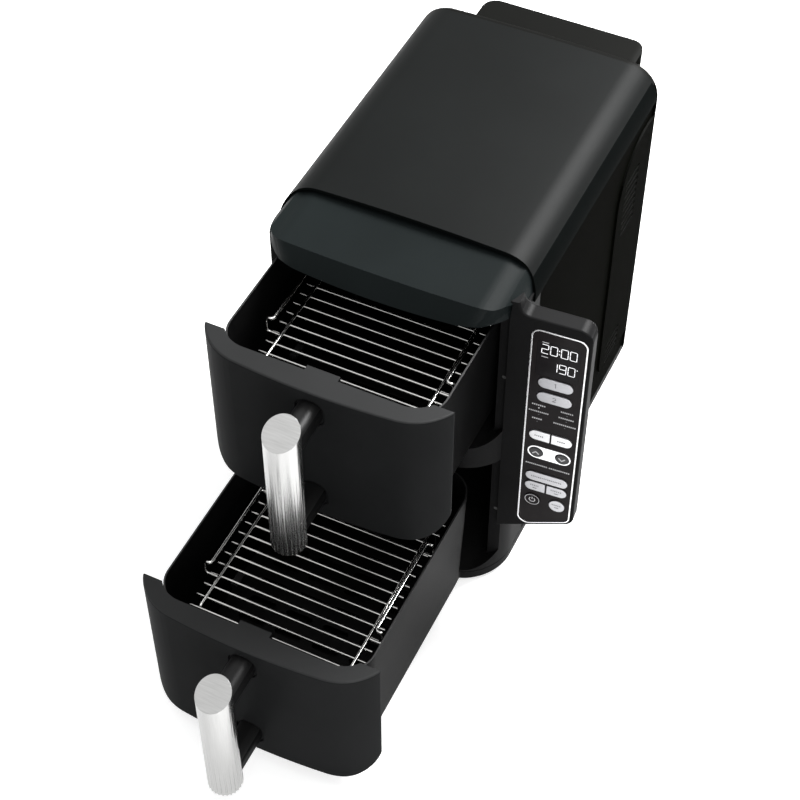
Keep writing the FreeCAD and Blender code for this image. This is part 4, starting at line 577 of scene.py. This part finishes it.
def rack_tree():
    """Tree that lays a row of cross wires and thickens the bent wires' paths."""
    tree = bpy.data.node_groups.new("welded_rack", "GeometryNodeTree")
    tree.is_modifier = True
    sockets = tree.interface
    sockets.new_socket("Paths", in_out="INPUT", socket_type="NodeSocketGeometry")
    for name in ("Wire Radius", "Rail Radius", "Pitch", "Half Width", "Bend Radius"):
        sockets.new_socket(name, in_out="INPUT", socket_type="NodeSocketFloat")
    sockets.new_socket("Wire Count", in_out="INPUT", socket_type="NodeSocketInt")
    sockets.new_socket("First Wire", in_out="INPUT", socket_type="NodeSocketVector")
    sockets.new_socket("Finish", in_out="INPUT", socket_type="NodeSocketMaterial")
    sockets.new_socket("Rack", in_out="OUTPUT", socket_type="NodeSocketGeometry")
    nodes, link = tree.nodes, tree.links.new
    given = nodes.new("NodeGroupInput").outputs
    result = nodes.new("NodeGroupOutput")

    def thick(curve, radius):
        """Round wire along a curve."""
        profile = nodes.new("GeometryNodeCurvePrimitiveCircle")
        profile.inputs["Resolution"].default_value = WIRE_SIDES
        link(radius, profile.inputs["Radius"])
        tube = nodes.new("GeometryNodeCurveToMesh")
        link(curve, tube.inputs["Curve"])
        link(profile.outputs["Curve"], tube.inputs["Profile Curve"])
        tube.inputs["Fill Caps"].default_value = True
        return tube.outputs["Mesh"]

    start = nodes.new("ShaderNodeCombineXYZ")
    flip = nodes.new("ShaderNodeMath")
    flip.operation = "MULTIPLY"
    flip.inputs[1].default_value = -1.0
    link(given["Half Width"], flip.inputs[0])
    link(flip.outputs[0], start.inputs["X"])
    end = nodes.new("ShaderNodeCombineXYZ")
    link(given["Half Width"], end.inputs["X"])
    cross = nodes.new("GeometryNodeCurvePrimitiveLine")
    link(start.outputs[0], cross.inputs["Start"])
    link(end.outputs[0], cross.inputs["End"])
    step = nodes.new("ShaderNodeCombineXYZ")
    link(given["Pitch"], step.inputs["Y"])
    row = nodes.new("GeometryNodeMeshLine")
    link(given["Wire Count"], row.inputs["Count"])
    link(given["First Wire"], row.inputs["Start Location"])
    link(step.outputs[0], row.inputs["Offset"])
    wires = nodes.new("GeometryNodeInstanceOnPoints")
    link(row.outputs["Mesh"], wires.inputs["Points"])
    link(thick(cross.outputs["Curve"], given["Wire Radius"]), wires.inputs["Instance"])

    paths = nodes.new("GeometryNodeMeshToCurve")
    link(given["Paths"], paths.inputs["Mesh"])
    bent = nodes.new("GeometryNodeFilletCurve")
    bent.mode = "POLY"
    bent.inputs["Count"].default_value = BEND_STEPS
    bent.inputs["Limit Radius"].default_value = True
    link(paths.outputs["Curve"], bent.inputs["Curve"])
    link(given["Bend Radius"], bent.inputs["Radius"])

    together = nodes.new("GeometryNodeJoinGeometry")
    link(wires.outputs["Instances"], together.inputs[0])
    link(thick(bent.outputs["Curve"], given["Rail Radius"]), together.inputs[0])
    real = nodes.new("GeometryNodeRealizeInstances")
    link(together.outputs[0], real.inputs[0])
    smooth = nodes.new("GeometryNodeSetShadeSmooth")
    link(real.outputs[0], smooth.inputs["Geometry"])
    finish = nodes.new("GeometryNodeSetMaterial")
    link(smooth.outputs["Geometry"], finish.inputs["Geometry"])
    link(given["Finish"], finish.inputs["Material"])
    link(finish.outputs["Geometry"], result.inputs["Rack"])
    return tree


def set_inputs(modifier, values):
    """Sets a modifier's inputs by the names that its tree gives them."""
    for socket in modifier.node_group.interface.items_tree:
        if socket.name in values and socket.in_out == "INPUT":
            modifier[socket.identifier] = values[socket.name]


# %% [markdown]
# ### One rack per drawer
# The sizes come from the solid that the rack stands for, so the wires fill the same space. The rails lie
# on top of the cross wires, sunk a little into them as a weld is.

# %% Racks
WIRE_RADIUS = 1.25 * MM
RAIL_RADIUS = 1.6 * MM
RAIL_SEAT = 1.0 * MM
RACK_PITCH = 12.5 * MM
RACK_RAIL_X = 74.0 * MM
BEND_RADIUS = 4.0 * MM
LIFT_RISE = 17.0 * MM
LIFT_INSET = 1.5 * MM
LIFT_JOG = 7.0 * MM
LIFT_SHORT = 36.0 * MM
LIFT_FOOT = 6.0 * MM
WELDED_RACK = rack_tree()


def path_mesh(name, paths):
    """Mesh of bare edges along each path."""
    points = []
    edges = []
    for path in paths:
        edges += [(len(points) + i, len(points) + i + 1) for i in range(len(path) - 1)]
        points += path
    mesh = bpy.data.meshes.new(name)
    mesh.from_pydata(points, edges, [])
    return mesh


def make_rack(zone):
    """Welded rack that stands for a drawer's rack solid."""
    node = zone + "_wire_rack"
    low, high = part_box(node)
    middle = (low + high) / 2.0
    half = (high.x - low.x) / 2.0
    count = round((high.y - low.y) / RACK_PITCH)
    grid = high.z - LIFT_RISE - WIRE_RADIUS
    reach = (count - 1) / 2.0 * RACK_PITCH
    front = middle.y - reach
    back = middle.y + reach
    seat = grid + RAIL_SEAT
    top = high.z - RAIL_RADIUS
    near = front + LIFT_SHORT
    far = back - LIFT_SHORT
    paths = []
    for side in (-1.0, 1.0):
        rail = middle.x + side * RACK_RAIL_X
        paths.append([(rail, front, low.z), (rail, front, seat), (rail, back, seat), (rail, back, low.z)])
        lift = middle.x + side * (half - LIFT_INSET)
        drop = lift + side * LIFT_JOG
        foot = lift - side * LIFT_FOOT
        paths.append([(foot, near, grid), (drop, near, grid), (drop, near, top), (lift, near, top),
                      (lift, far, top), (drop, far, top), (drop, far, grid), (foot, far, grid)])
    piece = bpy.data.objects.new(zone + "_bright_rack", path_mesh(zone + "_rack_paths", paths))
    bpy.context.collection.objects.link(piece)
    modifier = piece.modifiers.new("welded_rack", "NODES")
    modifier.node_group = WELDED_RACK
    set_inputs(modifier, {
        "Wire Radius": WIRE_RADIUS, "Rail Radius": RAIL_RADIUS, "Pitch": RACK_PITCH, "Half Width": half,
        "Bend Radius": BEND_RADIUS, "Wire Count": count, "First Wire": (middle.x, front, grid),
        "Finish": rack_chrome,
    })
    baked(piece)
    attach(piece, BODY_OF[node])
    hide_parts(node)
    return piece


for zone in ZONES:
    print(zone, "rack faces", len(make_rack(zone).data.polygons))

# %% [markdown]
# ## The control panel's own plane
# The wing is turned a few degrees towards the cook, so its marks are drawn in the panel's own plane: u
# to the right, z up and depth inwards. The keys' press direction gives that plane, so it follows the
# model. A mark is a flat curve, which Blender fills and leaves holes in by itself, made a mesh before it
# is put in place.

# %% Panel plane
press_joint = next(joint for joint in frame["joints"] if joint["child"] == "power_key")
PRESS = Vector(press_joint["axis"])
UP = Vector(UPWARDS)
RIGHT = PRESS.cross(UP)
PANEL_TO_SCENE = Matrix((RIGHT, UP, -PRESS)).transposed().to_4x4()
MITRE_LIMIT = 0.3
CIRCLE_STEPS = 40
CAPSULE_STEPS = 12


def panel_box(node):
    """Span in u, span in z and front depth of a node in the panel's plane."""
    points = [v.co for v in frame["nodes"][node].data.vertices]
    u = [p.dot(RIGHT) for p in points]
    z = [p.z for p in points]
    return (min(u), max(u)), (min(z), max(z)), min(p.dot(PRESS) for p in points)


def mark(name, loops, front, thickness, finish, body):
    """Flat piece bounded by loops of (u, z), whose back lies at depth front."""
    curve = bpy.data.curves.new(name, "CURVE")
    curve.dimensions = "2D"
    curve.fill_mode = "BOTH"
    curve.extrude = thickness / 2.0
    for loop in loops:
        spline = curve.splines.new("POLY")
        spline.points.add(len(loop) - 1)
        for point, (u, z) in zip(spline.points, loop):
            point.co = (u, z, 0.0, 1.0)
        spline.use_cyclic_u = True
    piece = bpy.data.objects.new(name + "_outline", curve)
    bpy.context.collection.objects.link(piece)
    bpy.context.view_layer.update()
    seen = piece.evaluated_get(bpy.context.evaluated_depsgraph_get())
    mesh = bpy.data.meshes.new_from_object(seen)
    bpy.data.objects.remove(piece)
    mesh.transform(PANEL_TO_SCENE @ Matrix.Translation((0.0, 0.0, thickness / 2.0 - front)))
    mesh.materials.clear()
    mesh.materials.append(finish)
    solid = bpy.data.objects.new(name, mesh)
    bpy.context.collection.objects.link(solid)
    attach(solid, body)


def circle(u, z, radius):
    """Closed ring of points."""
    turns = [2.0 * math.pi * i / CIRCLE_STEPS for i in range(CIRCLE_STEPS)]
    return [(u + radius * math.cos(a), z + radius * math.sin(a)) for a in turns]


def capsule(u, z, width, height):
    """Bar with round ends."""
    radius = height / 2.0
    reach = width / 2.0 - radius
    points = []
    for side, first in ((1.0, -math.pi / 2.0), (-1.0, math.pi / 2.0)):
        for i in range(CAPSULE_STEPS + 1):
            angle = first + math.pi * i / CAPSULE_STEPS
            points.append((u + side * reach + radius * math.cos(angle), z + radius * math.sin(angle)))
    return points


def stroke(points, width):
    """Closed outline of a bent line of even width, with its corners mitred."""
    left = []
    right = []
    count = len(points)
    for i, (u, z) in enumerate(points):
        before = Vector(points[max(i - 1, 0)])
        here = Vector((u, z))
        after = Vector(points[min(i + 1, count - 1)])
        into = (here - before).normalized() if i > 0 else (after - here).normalized()
        out = (after - here).normalized() if i < count - 1 else into
        normal = Vector((-(into.y + out.y), into.x + out.x)).normalized()
        reach = width / 2.0 / max(MITRE_LIMIT, normal.dot(Vector((-into.y, into.x))))
        left.append(tuple(here + normal * reach))
        right.append(tuple(here - normal * reach))
    return left + right[::-1]


# %% [markdown]
# ## Display digits
# The display is a row of seven-segment figures: a time above and a temperature below, as plain numbers.
# Every figure is made from the same seven bars with pointed ends, switched on or off.

# %% Display
SEGMENTS = {"0": "abcdef", "1": "bc", "2": "abged", "9": "abcdfg"}
TIME_SHOWN = "2000"
HEAT_SHOWN = "190"
PRINT_THICKNESS = 0.06 * MM
DIGIT_WIDTH = 5.8 * MM
DIGIT_HEIGHT = 10.5 * MM
DIGIT_PITCH = 7.7 * MM
SEGMENT_THICKNESS = 0.68 * MM
SEGMENT_GAP_SHARE = 0.35
COLON_AFTER = 2
COLON_GAP = 1.6 * MM
COLON_SHIFT = 0.15 * MM
COLON_SHARES = (0.3, 0.7)
DEGREE_SHARE = 0.85
DOT_RADIUS = 0.55 * MM
TIME_INSET = 4.05 * MM
TIME_DROP = 14.5 * MM
HEAT_INSET = 8.7 * MM
HEAT_DROP = 19.3 * MM
CAPTION_HEIGHT = 0.8 * MM
CAPTION_LENGTH = 5.8 * MM
CAPTION_RISE = 2.6 * MM
CAPTION_DROP = 4.3 * MM


def segment(a, b):
    """Bar from a to b with pointed ends."""
    a, b = Vector(a), Vector(b)
    along = (b - a).normalized() * SEGMENT_THICKNESS / 2.0
    across = Vector((-along.y, along.x))
    a, b = a + along * SEGMENT_GAP_SHARE, b - along * SEGMENT_GAP_SHARE
    corners = (a, a + along + across, b - along + across, b, b - along - across, a + along - across)
    return [tuple(c) for c in corners]


def figure(digit, u, z):
    """Segments of one digit whose lower left corner is at (u, z)."""
    w, h = DIGIT_WIDTH, DIGIT_HEIGHT
    ends = {
        "a": ((0, h), (w, h)), "b": ((w, h), (w, h / 2)), "c": ((w, h / 2), (w, 0)), "d": ((0, 0), (w, 0)),
        "e": ((0, h / 2), (0, 0)), "f": ((0, h), (0, h / 2)), "g": ((0, h / 2), (w, h / 2)),
    }
    return [segment((u + a[0], z + a[1]), (u + b[0], z + b[1]))
            for a, b in (ends[s] for s in SEGMENTS[digit])]


def display_marks():
    """Digits of a time and a temperature, with a short bar above and below the time."""
    window_u, window_z, window_front = panel_box("display_window")
    time_left = window_u[0] + TIME_INSET
    time_low = window_z[1] - TIME_DROP
    heat_left = time_left + HEAT_INSET
    heat_low = time_low - HEAT_DROP
    digits = []
    for i, digit in enumerate(TIME_SHOWN):
        gap = COLON_GAP * int(i >= COLON_AFTER)
        digits += figure(digit, time_left + i * DIGIT_PITCH + gap, time_low)
    for i, digit in enumerate(HEAT_SHOWN):
        digits += figure(digit, heat_left + i * DIGIT_PITCH, heat_low)
    colon_u = time_left + COLON_AFTER * DIGIT_PITCH - COLON_SHIFT
    digits += [circle(colon_u, time_low + DIGIT_HEIGHT * share, DOT_RADIUS) for share in COLON_SHARES]
    degree_u = heat_left + len(HEAT_SHOWN) * DIGIT_PITCH
    digits.append(circle(degree_u, heat_low + DIGIT_HEIGHT * DEGREE_SHARE, DOT_RADIUS))
    mark("display_digits", digits, window_front, PRINT_THICKNESS, digit_glow, "cabinet")
    caption_u = time_left + CAPTION_LENGTH / 2.0
    captions = [capsule(caption_u, z, CAPTION_LENGTH, CAPTION_HEIGHT)
                for z in (time_low + DIGIT_HEIGHT + CAPTION_RISE, time_low - CAPTION_DROP)]
    mark("display_captions", captions, window_front, PRINT_THICKNESS, print_white_painted_glow, "cabinet")


display_marks()

# %% [markdown]
# ## Marks on the panel
# Rows of small blocks give the panel its pattern of fine print. Each row below the zone keys has a small
# lamp under it, and one lamp is lit. A white pill lies behind the two arrow keys, with a painted glow.

# %% Panel marks
BLOCK_PITCH = 1.75 * MM
BLOCK_GAP = 0.75 * MM
WORD_HEIGHT = 1.6 * MM
LAMP_DROP = 3.6 * MM
LAMP_RADIUS = 0.5 * MM
# Offset from the panel's middle, length, and drop below the second zone key.
FUNCTION_WORDS = (
    (-13.0 * MM, 12.6 * MM, 13.0 * MM),
    (-12.6 * MM, 18.4 * MM, 21.6 * MM),
    (-13.6 * MM, 9.4 * MM, 31.0 * MM),
    (12.4 * MM, 11.6 * MM, 13.6 * MM),
    (12.2 * MM, 14.2 * MM, 21.4 * MM),
    (11.4 * MM, 20.6 * MM, 30.2 * MM),
)
# Offset from the panel's middle, and length.
DIVIDER_WORDS = ((-10.4 * MM, 20.4 * MM), (10.8 * MM, 19.6 * MM))
DIVIDER_DROP = 1.0 * MM
PLATE_BORDER = 1.6 * MM
PLATE_CLEARANCE = 0.4 * MM
PLATE_THICKNESS = 0.35 * MM
fascia_u, _, fascia_front = panel_box("fascia")
PANEL_MIDDLE = sum(fascia_u) / 2.0


def middle_of(node):
    """Middle of a node in the panel's plane."""
    u, z, _ = panel_box(node)
    return sum(u) / 2.0, sum(z) / 2.0


def radius_of(node):
    """Half of a round node's width in the panel's plane."""
    u = panel_box(node)[0]
    return (u[1] - u[0]) / 2.0


def word(u, z, width):
    """Row of small blocks whose middle is at (u, z)."""
    count = round(width / BLOCK_PITCH)
    pitch = width / count
    low = z - WORD_HEIGHT / 2.0
    high = z + WORD_HEIGHT / 2.0
    blocks = []
    for i in range(count):
        left = u - width / 2.0 + i * pitch
        right = left + pitch - BLOCK_GAP
        blocks.append([(left, low), (right, low), (right, high), (left, high)])
    return blocks


def function_marks():
    """Two columns of rows below the zone keys, each over a lamp."""
    zone_z = middle_of("zone_2_key")[1]
    words = []
    lamps = []
    for offset, width, drop in FUNCTION_WORDS:
        u = PANEL_MIDDLE + offset
        words += word(u, zone_z - drop, width)
        lamps.append(circle(u, zone_z - drop - LAMP_DROP, LAMP_RADIUS))
    mark("function_words", words, fascia_front, PRINT_THICKNESS, print_white_painted_glow, "cabinet")
    mark("function_lamps", lamps[1:], fascia_front, PRINT_THICKNESS, print_grey, "cabinet")
    mark("function_lamp_lit", lamps[:1], fascia_front, PRINT_THICKNESS, digit_glow, "cabinet")


def arrow_plate():
    """White pill behind the two arrow keys, with a hole round each, given a painted glow."""
    left_u, z = middle_of("up_key")
    right_u = middle_of("down_key")[0]
    radius = radius_of("up_key")
    height = 2.0 * (radius + PLATE_BORDER)
    plate = capsule((left_u + right_u) / 2.0, z, right_u - left_u + height, height)
    holes = [circle(u, z, radius + PLATE_CLEARANCE) for u in (left_u, right_u)]
    mark("arrow_plate", [plate] + holes, fascia_front, PLATE_THICKNESS, plate_white_painted_glow, "cabinet")


def divider():
    """Two rows between the arrow keys and the keys below them."""
    z = (middle_of("up_key")[1] + middle_of("both_zones_key")[1]) / 2.0 - DIVIDER_DROP
    words = []
    for offset, width in DIVIDER_WORDS:
        words += word(PANEL_MIDDLE + offset, z, width)
    mark("divider_words", words, fascia_front, PRINT_THICKNESS, print_white_painted_glow, "cabinet")


function_marks()
arrow_plate()
divider()

# %% [markdown]
# ### Marks on the keys
# Marks on a key ride with it when it is pressed. The zone keys have a numeral, the arrow keys a chevron,
# the power key a broken ring with an upright line, and the others a row of blocks, some over a dash.

# %% Key marks
KEY_WORD_RISE = 1.3 * MM
DASH_DROP = 2.2 * MM
DASH_LENGTH = 4.0 * MM
DASH_HEIGHT = 1.0 * MM
PLAIN_KEYS = {"temp_key": 8.6 * MM, "time_key": 7.6 * MM, "both_zones_key": 29.0 * MM}
DASHED_KEYS = {"sync_key": 8.4 * MM, "match_key": 10.6 * MM, "start_key": 9.0 * MM}
NUMERAL_SIZE = 2.0 * MM
NUMERAL_LINE = 0.65 * MM
NUMERALS = {
    "zone_1_key": ((-0.45, 0.75), (0.1, 1.25), (0.1, -1.25)),
    "zone_2_key": ((-0.7, 0.7), (-0.35, 1.15), (0.35, 1.15), (0.7, 0.7), (0.7, 0.3),
                   (-0.7, -1.15), (0.8, -1.15)),
}
CHEVRON_REACH = 3.0 * MM
CHEVRON_RISE = 1.5 * MM
CHEVRON_LINE = 1.1 * MM
POWER_RADIUS = 2.7 * MM
POWER_LINE = 0.75 * MM
POWER_GAP = math.radians(76.0)
POWER_STEPS = 24
STEM_LOW = 0.6 * MM
STEM_HIGH = 3.6 * MM
RING_INSET = 1.0 * MM
RING_LINE = 0.5 * MM


def key_mark(node, loops, finish):
    """Mark on a key's face."""
    mark(node + "_mark", loops, panel_box(node)[2], PRINT_THICKNESS, finish, BODY_OF[node])


def key_words():
    """Rows of blocks, with or without a dash below."""
    for node, width in PLAIN_KEYS.items():
        u, z = middle_of(node)
        key_mark(node, word(u, z, width), print_grey)
    for node, width in DASHED_KEYS.items():
        u, z = middle_of(node)
        dash = capsule(u, z - DASH_DROP, DASH_LENGTH, DASH_HEIGHT)
        key_mark(node, word(u, z + KEY_WORD_RISE, width) + [dash], print_grey)


def numerals():
    """Numeral of each zone key."""
    for node, points in NUMERALS.items():
        u, z = middle_of(node)
        line = [(u + a * NUMERAL_SIZE, z + b * NUMERAL_SIZE) for a, b in points]
        key_mark(node, [stroke(line, NUMERAL_LINE)], print_grey)


def chevrons():
    """Chevron that points up, and one that points down."""
    for node, way in (("up_key", 1.0), ("down_key", -1.0)):
        u, z = middle_of(node)
        rise = way * CHEVRON_RISE
        line = [(u - CHEVRON_REACH, z - rise), (u, z + rise), (u + CHEVRON_REACH, z - rise)]
        key_mark(node, [stroke(line, CHEVRON_LINE)], print_white_painted_glow)


def power_mark():
    """Broken ring with an upright line in its gap, inside a thin whole ring."""
    u, z = middle_of("power_key")
    first = (math.pi + POWER_GAP) / 2.0
    turn = 2.0 * math.pi - POWER_GAP
    angles = [first + turn * i / POWER_STEPS for i in range(POWER_STEPS + 1)]
    arc = [(u + POWER_RADIUS * math.cos(a), z + POWER_RADIUS * math.sin(a)) for a in angles]
    stem = [(u, z + STEM_LOW), (u, z + STEM_HIGH)]
    rim = radius_of("power_key") - RING_INSET
    rings = [circle(u, z, rim), circle(u, z, rim - RING_LINE)]
    key_mark("power_key", rings + [stroke(arc, POWER_LINE), stroke(stem, POWER_LINE)], print_white_painted_glow)


key_words()
numerals()
chevrons()
power_mark()
